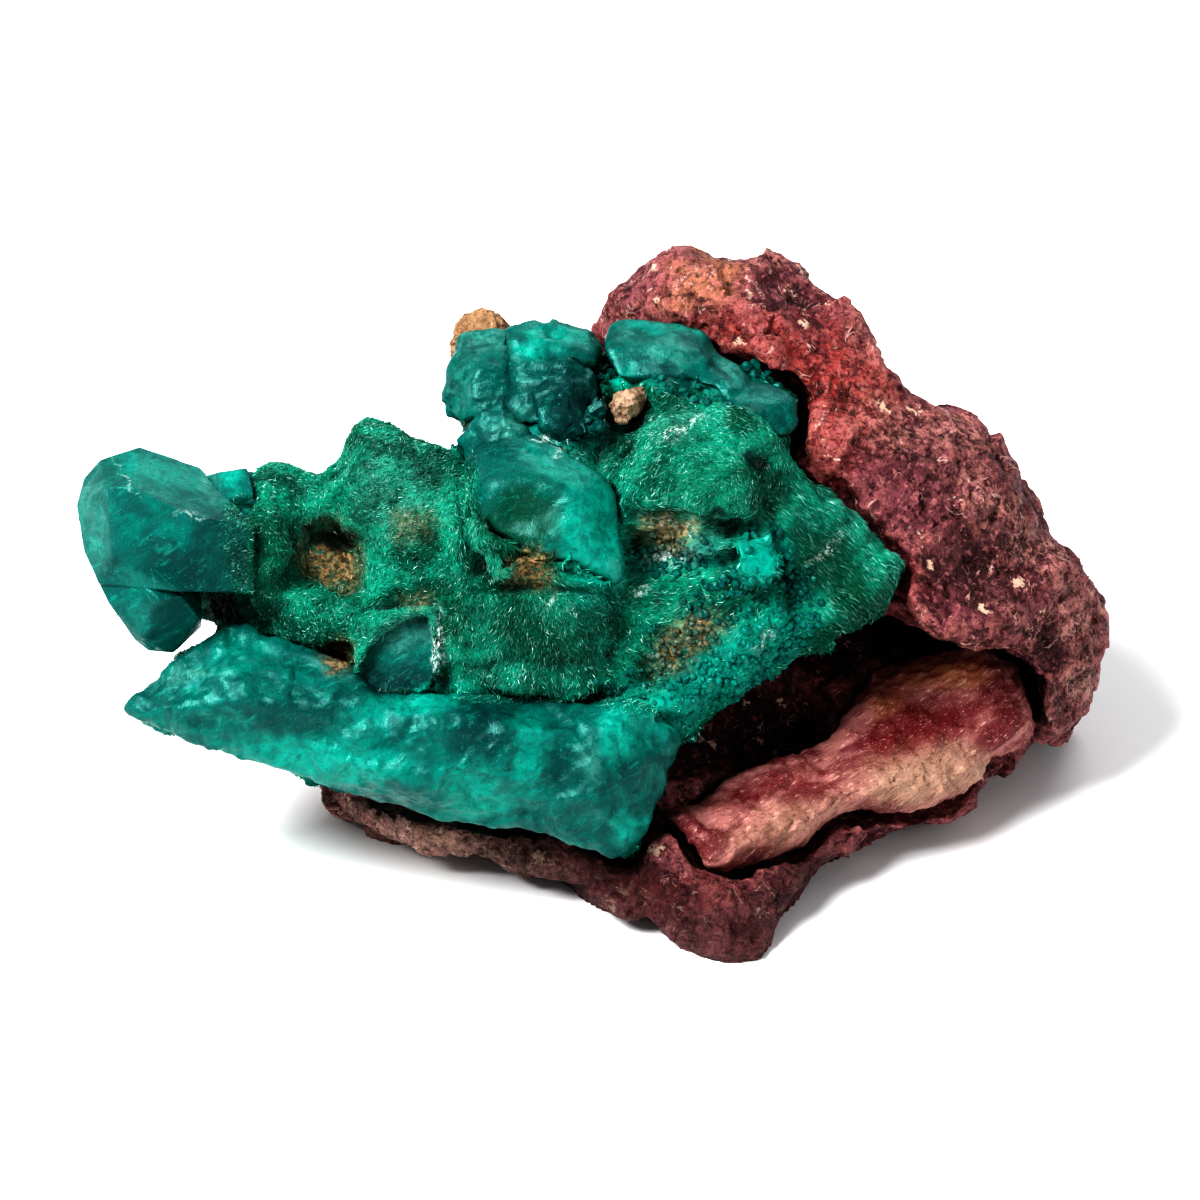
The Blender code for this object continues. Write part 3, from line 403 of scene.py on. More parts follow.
def rock_material():
    paint = Paint("maroon_rock")
    hollow = paint.stored("hollow")
    wide, middle = paint.clouds(3.2, 4.0, 0.65), paint.clouds(1.1, 4.0, 0.7, 0.5)
    fine, grain = paint.clouds(0.5, 6.0, 0.75, 0.6), paint.clouds(0.12, 3.0, 0.8)
    sugar = paint.cells(0.2, output="Color")
    colour = paint.mix(tone(80, 34, 43), tone(127, 71, 79), paint.ramp(wide, 0.38, 0.64))
    brick = paint.product(paint.stored("brick"), paint.ramp(fine, 0.36, 0.58, 0.5, 0.9))
    colour = paint.mix(colour, tone(160, 64, 56), brick)
    # Dark rock, in part painted shade in the crevice along the seam and under the crust
    colour = paint.patched(colour, tone(44, 16, 22), "dark", 0.9)
    colour = paint.patched(colour, tone(172, 120, 90), "tan", 0.95)
    # Pale dust, in part a painted highlight along the right edge
    patchy = paint.product(paint.ramp(fine, 0.4, 0.6), paint.stored("dust_and_highlight"))
    colour = paint.mix(colour, tone(200, 150, 138), paint.product(patchy, 0.95))
    colour = paint.laid(colour, tone(44, 12, 14), fine, 0.46, 0.34, 0.8)
    colour = paint.laid(colour, tone(54, 14, 16), middle, 0.5, 0.36, 0.75)
    colour = paint.laid(colour, tone(170, 110, 104), middle, 0.56, 0.68, 0.45)
    colour = paint.laid(colour, tone(40, 10, 13), sugar, 0.42, 0.2, 0.6)
    colour = paint.laid(colour, tone(184, 124, 118), sugar, 0.68, 0.9, 0.5)
    # Painted shade in the hollows
    colour = paint.laid(colour, tone(24, 8, 11), hollow, 0.02, 0.35, 0.85)
    # Painted highlight on the raised points
    raised_highlight = paint.product(paint.ramp(hollow, 0.0, -0.22), paint.ramp(fine, 0.4, 0.6))
    colour = paint.mix(colour, tone(176, 112, 108), paint.product(raised_highlight, 0.6))
    colour = paint.laid(colour, tone(40, 12, 16), grain, 0.45, 0.36, 0.55)
    colour = paint.laid(colour, tone(196, 146, 138), grain, 0.58, 0.7, 0.4)
    vein = paint.clouds(2.4, 3.0, 0.6, 1.2)
    vein = paint.math("ABSOLUTE", paint.math("SUBTRACT", vein, 0.5))
    broken = paint.ramp(paint.clouds(1.2, 2.0), 0.54, 0.6)
    vein = paint.product(paint.ramp(vein, 0.014, 0.002), broken)
    colour = paint.mix(colour, tone(214, 180, 168), paint.product(vein, 0.7))
    flecks = paint.cells(1.7, place=paint.stretched((0, 12, 0), (1.5, 1.0, 0.9)))
    ragged = paint.math("ADD", flecks, paint.ramp(paint.clouds(0.3, 4.0, 0.7), 0.3, 0.7, -0.14, 0.14))
    sparse = paint.ramp(paint.clouds(2.2, 2.0), 0.47, 0.56)
    fleck = paint.product(paint.ramp(ragged, 0.2, 0.14), sparse)
    colour = paint.mix(colour, tone(214, 184, 162), paint.product(fleck, 0.9))
    # Painted shade on the low parts near the base
    colour = paint.patched(colour, tone(36, 8, 10), "low", 0.75)
    grey = paint.product(paint.stored("grey"), 0.75)
    colour = paint.mix(colour, tone(96, 78, 70), grey, "COLOR")
    rough = paint.ramp(grain, 0.4, 0.6, 0.75, 0.4)
    normal = paint.relief(fine, 0.2, 1.0)
    normal = paint.relief(sugar, 0.07, 1.0, normal)
    paint.surface(Base_Color=colour, Roughness=rough, Normal=normal, IOR=1.5, Specular_IOR_Level=0.3)
    return paint.material


ROCK_INSET = 0.12  # mm that the broken surface lies inside the solid on average
BASE_FADE = 1.2  # mm above the base over which the rock goes from flat to broken
BASE_FLAT = 0.25  # mm, below which points lie on the base
CRUST_EDGE = (-6.6, 25.0)  # u and v: above and left of it, the crust alone makes the outline
BEHIND_CRUST = 0.2  # share of the rock's height above this edge that is left there
PATCHES_FROM, PATCHES_FADE = -16.0, 4.0  # w where the patches begin, and the depth they fade in over


def make_rock():
    rock = copy_of("matrix_rock", "rock")
    skin(rock, ROCK_STEP)
    points, normals = points_of(rock), normals_of(rock)
    rise = 0.36 * chips_at(points, 3.0, 2.0) + 0.18 * chips_at(points, 1.3, 5.0)
    rise += 0.14 * noise_at(points, 1.6, 1.0) + 0.12 * noise_at(points, 0.5, 4.0)
    above_base = np.clip(points[:, 2] / (BASE_FADE * MM), 0.0, 1.0)
    move = (rise - ROCK_INSET) * above_base
    flat = points[:, 2] < BASE_FLAT * MM
    points += normals * move[:, None] * MM
    points[flat, 2] = 0.0
    places = face_places(points)
    edge_u, edge_v = CRUST_EDGE
    behind_crust = (places[:, 0] < edge_u) & (places[:, 1] > edge_v)
    places[behind_crust, 1] = edge_v + BEHIND_CRUST * (places[behind_crust, 1] - edge_v)
    points = upright_points(places)
    move_points(rock, points)
    places[:, :2] += wavering(points, 1.4, 0.9)
    facing = np.clip((places[:, 2] - PATCHES_FROM) / PATCHES_FADE, 0.0, 1.0)
    # How hollow each point lies, for painted shade in the hollows and a painted highlight on the raised
    # points
    store(rock, "hollow", 0.5 * hollowness(rock, 8) + 0.5 * hollowness(rock, 90))
    for name, patches in ROCK_PATCHES.items():
        store(rock, name, painted(places, patches) * facing)
    shade_smooth(rock, 35.0)
    place_piece(rock, "matrix_rock", rock_material())


# The large crystals, by the corners of their faces: what shows first, then what is buried

CRYSTALS = {
    "left_crystal": [
        (-24.7, 23.9, 2.0), (-23.3, 23.7, 2.6), (-20.3, 22.3, 3.0), (-17.3, 21.8, 1.8),
        (-17.3, 18.6, 1.4), (-21.0, 18.3, 2.2), (-24.2, 20.2, 1.9), (-26.15, 22.9, -0.3),
        (-25.8, 24.2, -0.6), (-25.9, 20.6, 0.0), (-25.0, 19.2, 0.7), (-25.1, 25.2, -1.2),
        (-24.1, 25.3, -0.8), (-23.1, 25.9, -2.0), (-22.1, 25.4, -2.0), (-20.1, 24.8, -2.2),
        (-19.8, 23.5, 0.6), (-25.4, 22.5, -3.2), (-23.5, 24.6, -4.0), (-20.5, 23.8, -4.2),
        (-18.0, 22.0, -4.0), (-18.0, 18.8, -3.0), (-22.0, 18.8, -2.8), (-24.8, 20.5, -2.6),
    ],
    "left_foot": [
        (-25.2, 19.3, 0.4), (-24.6, 18.0, 0.6), (-23.9, 17.2, 0.3), (-23.3, 16.1, -0.4),
        (-22.6, 15.6, -1.2), (-21.4, 15.5, -1.6), (-21.0, 15.9, -0.8), (-20.0, 17.2, 0.2),
        (-20.8, 18.3, 1.6), (-22.8, 19.0, 1.5), (-24.2, 20.2, 1.2), (-22.0, 18.2, 1.8),
        (-22.9, 16.3, 0.4), (-23.5, 18.5, -2.6), (-22.5, 16.5, -3.0), (-20.0, 16.8, -3.2),
        (-20.0, 18.5, -3.0),
    ],
    "neck": [
        (-19.9, 24.4, -1.8), (-19.1, 24.6, -1.2), (-17.7, 24.8, -1.4), (-17.4, 23.4, -0.4),
        (-19.0, 23.2, -0.2), (-19.8, 23.1, -1.0), (-19.5, 24.0, -4.0), (-17.4, 24.4, -4.0),
        (-18.0, 21.5, -4.0), (-17.5, 21.5, -1.0),
    ],
    "window": [
        (-12.4, 14.8, 0.0), (-11.6, 16.6, 0.1), (-10.0, 17.7, 0.2), (-8.2, 17.8, 0.3),
        (-8.1, 14.5, 0.4), (-9.0, 13.3, 0.3), (-11.4, 13.0, 0.2), (-12.3, 13.5, 0.0),
        (-12.0, 15.0, -2.5), (-9.8, 17.2, -2.5), (-8.2, 17.2, -2.5), (-8.2, 13.8, -2.5),
        (-12.0, 13.6, -2.5),
    ],
    "window_edge": [
        (-8.45, 17.6, 0.5), (-8.0, 17.7, 1.0), (-7.95, 14.5, 1.3), (-8.4, 14.4, 1.1),
        (-8.1, 17.4, -2.0), (-8.1, 14.6, -2.0),
    ],
}

# Clear masses: how broken the surface is (0 to 1), how many rounds of smoothing soften its
# edges, and the crystals that have grown into one another
MASSES = {
    "heart_mass": (0.25, 26, {
        "heart": [
            (-5.6, 23.6, 2.4), (-4.4, 24.3, 2.3), (-2.0, 23.9, 2.5), (-0.9, 22.4, 2.6),
            (0.1, 20.6, 2.4), (0.8, 19.2, 1.8), (-1.6, 20.3, 2.9), (-2.8, 20.8, 2.8),
            (-5.0, 21.3, 2.6), (-6.0, 22.2, 2.0), (-6.7, 25.4, -0.6), (-6.2, 26.1, -0.6),
            (-5.0, 26.6, -0.6), (-3.2, 26.5, -0.4), (-2.1, 25.8, 0.0), (0.0, 24.6, 0.4),
            (0.8, 23.5, 0.5), (1.0, 21.8, 0.9), (1.2, 18.9, 1.0), (-6.6, 22.5, -1.0),
            (-6.0, 25.0, -4.0), (-1.0, 24.0, -4.0), (0.5, 20.0, -3.0), (-4.0, 21.0, -3.0),
        ],
    }),
    "lower_mass": (1.0, 18, {
        "lower_left": [
            (-24.1, 12.6, -1.4), (-23.6, 13.3, -1.2), (-22.2, 14.0, -1.0), (-20.5, 16.0, -0.8),
            (-18.0, 17.1, -0.5), (-15.0, 16.2, 0.0), (-12.4, 15.0, 0.4), (-10.8, 12.9, 1.8),
            (-17.5, 12.9, 1.9), (-22.2, 12.8, 0.1), (-23.3, 11.9, -0.8), (-21.3, 11.2, -0.9),
            (-18.2, 11.1, -0.7), (-16.9, 10.0, -0.8), (-12.0, 8.8, 0.2), (-22.0, 13.0, -3.2),
            (-18.0, 15.5, -4.0), (-14.0, 15.0, -4.0), (-14.0, 10.0, -4.0), (-18.0, 11.5, -3.5),
        ],
        "lower_middle": [
            (-14.5, 13.4, 0.6), (-9.0, 13.6, 1.0), (-5.0, 13.6, 0.8), (-1.6, 13.0, 0.6),
            (-13.0, 11.2, 1.6), (-7.0, 11.8, 2.8), (-4.6, 12.0, 2.8), (-1.6, 11.4, 2.2),
            (-4.8, 9.6, 2.6), (-9.5, 9.0, 1.9), (-14.6, 9.2, -0.5), (-11.0, 8.1, -0.6),
            (-8.5, 7.2, -0.9), (-5.0, 6.6, -0.7), (-1.6, 6.5, -0.4), (-1.4, 9.4, 1.8),
            (-12.0, 12.0, -4.0), (-4.0, 12.0, -4.0), (-4.0, 8.0, -3.5), (-10.0, 8.5, -4.0),
        ],
        "lower_right": [
            (-3.8, 12.6, 0.8), (2.0, 13.1, 0.9), (4.4, 11.4, -0.2), (2.6, 9.0, 0.2), (2.2, 8.1, 0.2),
            (2.4, 6.6, -0.2), (1.7, 6.0, -0.4), (0.6, 5.3, -0.2), (-0.6, 5.8, -0.2),
            (-3.0, 6.5, -0.2), (-3.8, 8.1, 1.4), (-0.6, 10.8, 2.6), (-0.4, 8.4, 2.4),
            (-3.6, 10.8, 1.7), (1.2, 9.8, 1.7), (-2.0, 12.0, -3.5), (3.5, 11.0, -3.5),
            (2.0, 7.5, -3.0), (0.0, 7.0, -3.0), (-2.0, 8.0, -3.0),
        ],
    }),
    "crown_mass": (0.9, 1, {
        "crown_left": [
            (-7.4, 30.4, -3.6), (-7.0, 31.4, -4.0), (-6.2, 31.8, -4.2), (-5.0, 31.8, -4.2),
            (-4.8, 30.3, -2.2), (-7.9, 28.4, -3.2), (-7.7, 27.4, -3.2), (-6.2, 29.8, -1.8),
            (-6.0, 27.3, -1.6), (-4.5, 28.5, -1.4), (-6.8, 30.5, -6.5), (-5.0, 30.8, -6.5),
            (-7.2, 28.0, -6.0), (-5.0, 27.0, -5.5),
        ],
        "crown_top": [
            (-4.8, 31.6, -4.0), (-3.6, 32.0, -4.2), (-2.2, 32.1, -4.4), (-1.0, 31.6, -4.4),
            (0.0, 31.0, -4.4), (-0.4, 30.2, -3.2), (-2.6, 30.4, -2.8), (-4.4, 30.2, -2.6),
            (-3.4, 31.2, -3.0), (-4.2, 31.0, -7.0), (-1.0, 30.8, -7.0), (-0.5, 29.0, -6.0),
            (-4.0, 29.0, -6.0),
        ],
        "crown_right": [
            (-3.3, 30.0, -2.4), (-1.6, 30.3, -2.2), (-0.3, 29.4, -2.4), (0.1, 28.2, -2.2),
            (0.0, 26.4, -1.6), (-1.6, 26.2, -1.0), (-2.8, 27.0, -0.9), (-3.6, 28.6, -1.4),
            (-1.8, 28.6, -0.9), (-3.0, 29.5, -5.0), (-0.4, 29.0, -5.0), (-0.3, 26.0, -4.0),
            (-3.0, 26.0, -4.0),
        ],
        "crown_wedge": [
            (-5.0, 28.3, -0.6), (-3.6, 26.8, -0.6), (-4.7, 26.6, 0.3), (-7.2, 26.2, -1.4),
            (-6.4, 25.0, -0.8), (-3.5, 25.5, -0.2), (-5.0, 27.5, -4.0), (-7.0, 25.8, -4.0),
            (-4.0, 25.2, -3.0),
        ],
        "crown_middle": [
            (-5.3, 30.4, -2.8), (-3.2, 30.6, -2.8), (-5.2, 27.2, -1.5), (-3.2, 27.0, -1.2),
            (-5.0, 29.0, -1.9), (-3.4, 29.2, -1.8), (-5.0, 30.0, -6.0), (-3.4, 30.0, -6.0),
            (-5.0, 27.0, -5.0), (-3.4, 27.0, -5.0),
        ],
    }),
    "shoulder_mass": (0.35, 6, {
        "shoulder": [
            (0.4, 31.9, -4.4), (1.0, 32.2, -4.8), (3.0, 32.2, -4.8), (4.6, 31.8, -4.8),
            (5.3, 31.5, -4.6), (6.1, 30.5, -4.2), (0.3, 30.8, -3.0), (2.0, 30.9, -2.8),
            (4.8, 30.9, -2.8), (5.5, 30.1, -2.6), (5.0, 29.4, -2.4), (2.0, 29.2, -2.0),
            (4.0, 29.2, -2.0), (0.9, 29.3, -2.2), (1.0, 31.0, -7.0), (5.0, 30.5, -7.0),
            (2.0, 28.5, -5.0), (5.0, 28.5, -5.0),
        ],
        "shoulder_end": [
            (6.4, 29.6, -3.4), (8.2, 29.0, -3.6), (9.4, 28.6, -3.6), (9.9, 28.2, -3.4),
            (10.0, 27.0, -2.8), (9.2, 26.3, -1.8), (7.4, 27.4, -1.2), (6.0, 28.6, -1.8),
            (6.5, 29.0, -6.0), (9.6, 27.8, -6.0), (9.4, 26.4, -5.0), (6.5, 26.5, -4.0),
        ],
        "shoulder_bridge": [
            (4.8, 31.3, -4.6), (6.6, 30.3, -4.2), (7.6, 29.3, -3.7), (5.2, 29.8, -2.6),
            (6.6, 28.5, -1.8), (4.4, 29.2, -2.2), (5.0, 30.0, -6.0), (7.0, 28.6, -5.0),
        ],
    }),
}

FACET_ANGLE = math.radians(15.0)  # crystal faces closer to level than this become one
EDGE_ROUNDING = 0.07  # mm
FACE_CHIPS = 0.03  # mm that the faces of the single crystals are uneven
MASS_FULLNESS = 0.08  # mm that a mass stands out of its corners, to close the slit round it

# Where the green is brighter and paler (in part painted light on lit facets and ridges), darker (in part
# painted shade), leaf green, iron-stained, streaked whitish (in part painted glints), almost black in
# painted shade, and where it is clear
GREEN_PATCHES = {
    "bright": [
        (-18.5, 24.1, 0.6, 0.7, 0, 1.0), (-21.8, 20.6, 0.5, 0.2, 10, 0.4), (-22.2, 24.6, 2.4, 0.8, -15, 0.5),
        (-11.3, 12.5, 1.4, 0.8, 30, 0.7), (-8.6, 13.2, 2.0, 0.7, 15, 1.0),
        (-14.0, 10.0, 4.6, 1.3, -6, 0.8), (-6.5, 8.8, 2.0, 1.4, -10, 0.7),
        (-3.4, 11.4, 1.2, 1.1, 0, 0.6), (-6.0, 7.9, 2.2, 0.9, 10, 0.7),
        (-3.8, 9.7, 1.2, 1.0, 40, 0.7), (1.0, 11.6, 1.1, 1.6, -20, 1.0),
        (1.4, 6.8, 0.9, 0.8, 0, 0.8), (-0.1, 21.4, 1.9, 3.0, 0, 1.0), (-1.6, 24.6, 2.6, 0.9, -30, 0.6),
        (0.6, 20.3, 0.7, 1.8, 0, 1.0), (-3.4, 31.0, 0.8, 0.7, 0, 1.0),
        (-2.2, 31.3, 1.6, 0.7, 0, 0.5), (1.0, 29.4, 0.7, 0.6, 0, 0.9),
        (8.1, 20.4, 1.5, 1.3, 0, 0.9), (9.2, 20.4, 0.4, 0.4, 0, 1.0),
        (-18.0, 15.2, 2.6, 0.9, 20, 0.35), (3.0, 31.9, 2.4, 0.3, -8, 0.5),
        (7.0, 15.2, 4.4, 1.8, 35, 0.6), (3.6, 12.6, 2.0, 1.2, 20, 0.6),
    ],
    "dark": [
        (-20.8, 19.6, 2.6, 1.3, -20, 0.9), (-18.8, 20.6, 1.4, 2.2, 0, 0.7),
        (-21.4, 17.6, 1.4, 1.4, 0, 0.6), (-10.2, 13.8, 2.4, 1.0, 0, 1.0),
        (-15.4, 12.4, 2.2, 1.1, 0, 0.7), (-13.0, 8.2, 2.0, 0.7, 0, 0.7),
        (-5.9, 11.3, 1.5, 2.0, 0, 0.8), (-2.2, 9.9, 1.2, 1.6, 20, 0.8),
        (1.3, 9.4, 0.8, 1.0, 0, 0.8), (-3.9, 22.2, 1.9, 1.4, 10, 0.35),
        (-0.6, 18.0, 1.6, 1.0, 0, 0.6), (-1.6, 29.3, 1.8, 1.2, -20, 0.9),
        (-1.2, 27.8, 1.5, 2.0, 0, 1.0), (3.0, 29.7, 1.2, 0.6, 0, 0.7),
        (7.9, 25.1, 0.6, 0.9, 0, 1.0), (11.0, 20.9, 1.5, 2.4, -20, 0.5),
        (-5.0, 26.0, 1.2, 0.8, 0, 0.6), (-3.4, 16.4, 3.4, 2.0, 0, 0.4),
        (-2.4, 28.6, 2.0, 1.4, -10, 0.6), (-5.6, 28.8, 1.2, 1.2, 0, 0.4), (-24.5, 19.9, 0.6, 0.6, 0, 0.7),
        (-6.6, 18.6, 0.6, 2.4, 0, 0.4), (-12.6, 13.0, 1.2, 0.6, 0, 0.5),
    ],
    "leaf": [
        (-3.8, 22.2, 2.3, 1.9, 10, 1.0), (-3.2, 16.6, 2.8, 1.8, 0, 0.5),
        (6.0, 24.0, 3.0, 1.4, 0, 0.5), (12.0, 19.2, 3.2, 1.4, -40, 0.5),
        (-16.4, 20.0, 1.0, 2.6, 0, 0.5), (-7.0, 17.2, 1.0, 1.8, 0, 0.5),
    ],
    "pale": [
        (-25.3, 22.4, 1.0, 2.6, 8, 0.35), (-20.0, 14.4, 1.6, 0.4, 5, 0.9),
        (-19.6, 23.9, 0.5, 0.8, 0, 0.8), (-9.6, 16.6, 1.8, 1.0, 10, 0.8),
        (-0.4, 9.9, 0.5, 1.0, 0, 0.7), (-1.0, 25.4, 0.5, 0.3, -20, 0.7),
        (-5.9, 31.3, 1.4, 0.8, 0, 0.75), (-6.8, 29.0, 0.8, 1.8, 0, 0.4),
        (-4.6, 26.8, 0.8, 0.8, 0, 0.6), (3.4, 30.6, 1.8, 0.6, -6, 0.6),
        (6.5, 29.9, 0.5, 0.5, 0, 0.6), (-10.2, 23.6, 2.4, 2.6, 0, 0.55), (5.4, 21.3, 1.5, 0.8, 0, 0.5),
        (3.9, 26.9, 1.6, 0.8, 20, 0.5), (13.8, 22.0, 3.6, 0.4, -40, 0.6),
        (0.8, 19.6, 0.25, 1.4, 0, 0.8),
    ],
    "ochre": [
        (-13.1, 15.3, 0.8, 0.9, 0, 1.0),
        (-9.3, 21.9, 1.4, 0.9, 0, 0.35), (-9.1, 18.1, 1.0, 0.6, 0, 0.35),
        (-3.5, 19.6, 1.2, 1.0, 0, 1.0), (3.4, 21.6, 1.7, 0.9, 0, 0.8),
        (4.2, 16.0, 2.3, 1.2, 40, 0.7),
    ],
    "white_and_glint": [
        (-8.1, 16.0, 0.22, 1.5, 0, 1.0), (1.9, 18.6, 0.5, 0.25, 30, 1.0),
        (3.4, 20.3, 1.3, 0.5, 10, 0.9), (3.6, 21.9, 1.2, 0.3, -10, 0.6),
        (4.2, 26.7, 1.4, 0.16, 30, 0.8), (8.2, 16.0, 0.2, 0.8, -25, 0.7),
        (-3.0, 26.2, 0.4, 0.2, 0, 0.9), (-2.1, 25.7, 0.3, 0.25, -40, 0.8),
        (-23.6, 24.2, 1.1, 0.1, -55, 0.55), (-20.4, 22.3, 0.8, 0.1, -20, 0.55),
        (-2.6, 18.2, 0.5, 0.12, 60, 0.7), (-1.4, 17.7, 0.5, 0.12, -60, 0.7),
        (-22.2, 15.5, 0.3, 0.12, 0, 0.8), (11.2, 20.7, 1.2, 0.2, 40, 0.5),
    ],
    "glass": [
        (-15.5, 11.4, 11.0, 3.8, -14, 1.0), (-3.0, 8.8, 8.0, 4.4, -12, 1.0),
        (1.6, 9.8, 3.2, 4.2, 0, 1.0), (5.0, 14.0, 4.4, 1.5, 35, 0.9),
        (8.2, 20.3, 1.5, 1.5, 0, 1.0), (-4.0, 28.4, 4.6, 4.0, 0, 1.0),
        (4.8, 30.2, 5.2, 1.8, -10, 1.0), (4.8, 20.6, 2.0, 0.8, 0, 0.8),
    ],
    "black_shade": [
        (-13.5, 21.3, 1.5, 0.75, 0, 1.0), (-18.8, 17.7, 1.1, 0.8, 0, 1.0),
        (5.7, 22.4, 0.9, 0.3, 0, 0.9), (7.9, 25.0, 0.4, 0.7, 0, 0.8),
        (-16.2, 17.6, 1.4, 0.5, 0, 0.5),
    ],
}

PIT = (-13.4, 20.2, 1.6, 2.0, 25, 1.0)  # the open pit in the crust, as a patch
PIT_FLOOR = -2.6  # w at its middle, in mm
PIT_BOTTOM = -5.2  # w below which a point is no longer in the pit


def ochre_at(places):
    """Where the green is stained ochre: in the patches and on the floor of the pit."""
    deep = np.clip((-1.1 - places[:, 2]) / 0.5, 0.0, 1.0) * (places[:, 2] > PIT_BOTTOM)
    return np.maximum(painted(places, GREEN_PATCHES["ochre"]), painted(places, [PIT]) * deep)


def paint_green(piece, points, hollow=0.0):
    """Stores on the piece how bright, dark, pale, stained, streaked or darkest in painted shade each point
    is, several of them in part painted light and shade, and how hollow it lies, for painted shade.
    """
    places = face_places(points)
    places[:, :2] += wavering(points, 0.8, 0.5)
    for name, patches in GREEN_PATCHES.items():
        store(piece, name, ochre_at(places) if name == "ochre" else painted(places, patches))
    store(piece, "hollow", hollow + np.zeros(len(points)))


def green_colour(paint, base, contrast=1.0):
    """Colours the base by the stored patches, some of them in part painted light and shade, and adds painted
    shade in the hollows.
    """
    cloud = paint.clouds(0.5, 5.0, 0.7, 0.8)
    # Darker zones, in part painted shade, as on the lower right of the left crystal
    colour = paint.patched(base, tone(0, 42, 44), "dark", 0.85 * contrast)
    colour = paint.patched(colour, tone(0, 66, 36), "leaf", 0.75 * contrast)
    # Brighter zones, in part painted light on lit facets, as on the top facet of the left crystal
    bright = paint.product(paint.stored("bright"), paint.ramp(cloud, 0.3, 0.62, 0.25, 1.0))
    colour = paint.mix(colour, tone(0, 180, 160), paint.product(bright, 0.8))
    # Paler zones, in part painted highlights, as on the ridge of the crust and the top of the heart
    pale = paint.product(paint.stored("pale"), paint.ramp(cloud, 0.38, 0.6, 0.15, 1.0))
    colour = paint.mix(colour, tone(100, 168, 154), paint.product(pale, 0.6))
    # Whitish streaks: in part whitish mineral, in part painted glints and edge highlights
    streak_and_glint = paint.product(paint.stored("white_and_glint"), paint.ramp(paint.clouds(0.2, 4.0, 0.7), 0.46, 0.56))
    colour = paint.mix(colour, tone(226, 236, 228), streak_and_glint)
    # Painted shade in the hollows
    colour = paint.laid(colour, tone(2, 22, 16), paint.stored("hollow"), 0.04, 0.55, 0.9)
    ochre = paint.product(paint.stored("ochre"), paint.ramp(cloud, 0.34, 0.54, 0.1, 1.0))
    grain = paint.ramp(paint.clouds(0.25, 4.0, 0.7), 0.4, 0.6)
    stain = paint.mix(tone(84, 62, 42), tone(168, 138, 100), grain)
    colour = paint.mix(colour, stain, ochre)
    # Painted shade, almost black, in the pit, the gap under the left crystal and the crevices
    return paint.patched(colour, tone(5, 12, 8), "black_shade", 0.97)


GLINT = (0.45, 1.0, 0.94, 1.0)  # tint of what the green crystal reflects


def crystal_material():
    """Clear teal crystal with cloudy zones, healed cracks and fine growth lines."""
    paint = Paint("clear_dioptase")
    zone, fine = paint.clouds(1.4, 5.0, 0.65, 1.0), paint.clouds(0.2, 5.0, 0.7)
    base = paint.mix(tone(0, 80, 76), tone(0, 112, 102), paint.ramp(zone, 0.34, 0.66))
    base = green_colour(paint, base)
    crack = paint.cells(1.5, "DISTANCE_TO_EDGE", place=paint.stretched((20, 35, 30), (1.0, 1.7, 0.8)))
    crack = paint.product(paint.ramp(crack, 0.02, 0.0), paint.ramp(zone, 0.52, 0.62))
    base = paint.mix(base, tone(40, 170, 150), paint.product(crack, 0.3))
    speck = paint.ramp(paint.clouds(0.1, 3.0), 0.62, 0.7)
    base = paint.mix(base, tone(70, 190, 168), paint.product(speck, 0.4))
    streaks = paint.clouds(0.3, 4.0, 0.65, 0.6, place=paint.stretched((0, 55, 0), (1.0, 1.0, 5.0)))
    base = paint.laid(base, tone(40, 176, 162), streaks, 0.56, 0.7, 0.3)
    base = paint.laid(base, tone(0, 58, 58), streaks, 0.44, 0.32, 0.45)
    lines = paint.clouds(0.35, 3.0, 0.6, 0.2, place=paint.stretched((0, 0, 8), (1.0, 1.0, 7.0)))
    normal = paint.relief(lines, 0.045, 0.5)
    normal = paint.relief(fine, 0.04, 0.8, normal)
    facets = paint.cells(0.7, place=paint.stretched((0, 40, 0), (1.0, 1.0, 1.8)))
    normal = paint.relief(paint.product(facets, paint.stored("glass")), 0.1, 0.7, normal)
    rough = paint.ramp(zone, 0.4, 0.6, 0.46, 0.22)
    paint.surface(Base_Color=base, Roughness=rough, Normal=normal, IOR=1.66)
    paint.surface(Transmission_Weight=0.35, Specular_IOR_Level=0.1, Specular_Tint=GLINT)
    return paint.material


def crystal_shape(corners):
    """The convex solid through the corner points, as a bmesh with flat faces."""
    mesh = bmesh.new()
    for corner in corners:
        mesh.verts.new(face_point(*corner))
    bmesh.ops.convex_hull(mesh, input=mesh.verts)
    loose = [vertex for vertex in mesh.verts if not vertex.link_faces]
    bmesh.ops.delete(mesh, geom=loose, context="VERTS")
    bmesh.ops.dissolve_limit(mesh, angle_limit=FACET_ANGLE, verts=mesh.verts, edges=mesh.edges)
    bmesh.ops.planar_faces(mesh, faces=mesh.faces, iterations=60, factor=0.5)
    return mesh


def in_fixed_order(shape):
    """The same bmesh, with its points and faces in an order that is the same each run."""
    points = sorted(shape.verts, key=lambda vertex: tuple(vertex.co))
    for number, vertex in enumerate(points):
        vertex.index = number
    faces = []
    for face in shape.faces:
        numbers = [vertex.index for vertex in face.verts]
        start = numbers.index(min(numbers))
        faces.append(numbers[start:] + numbers[:start])
    ordered = bmesh.new()
    made = [ordered.verts.new(vertex.co) for vertex in points]
    for numbers in sorted(faces):
        ordered.faces.new([made[number] for number in numbers])
    ordered.normal_update()
    shape.free()
    return ordered


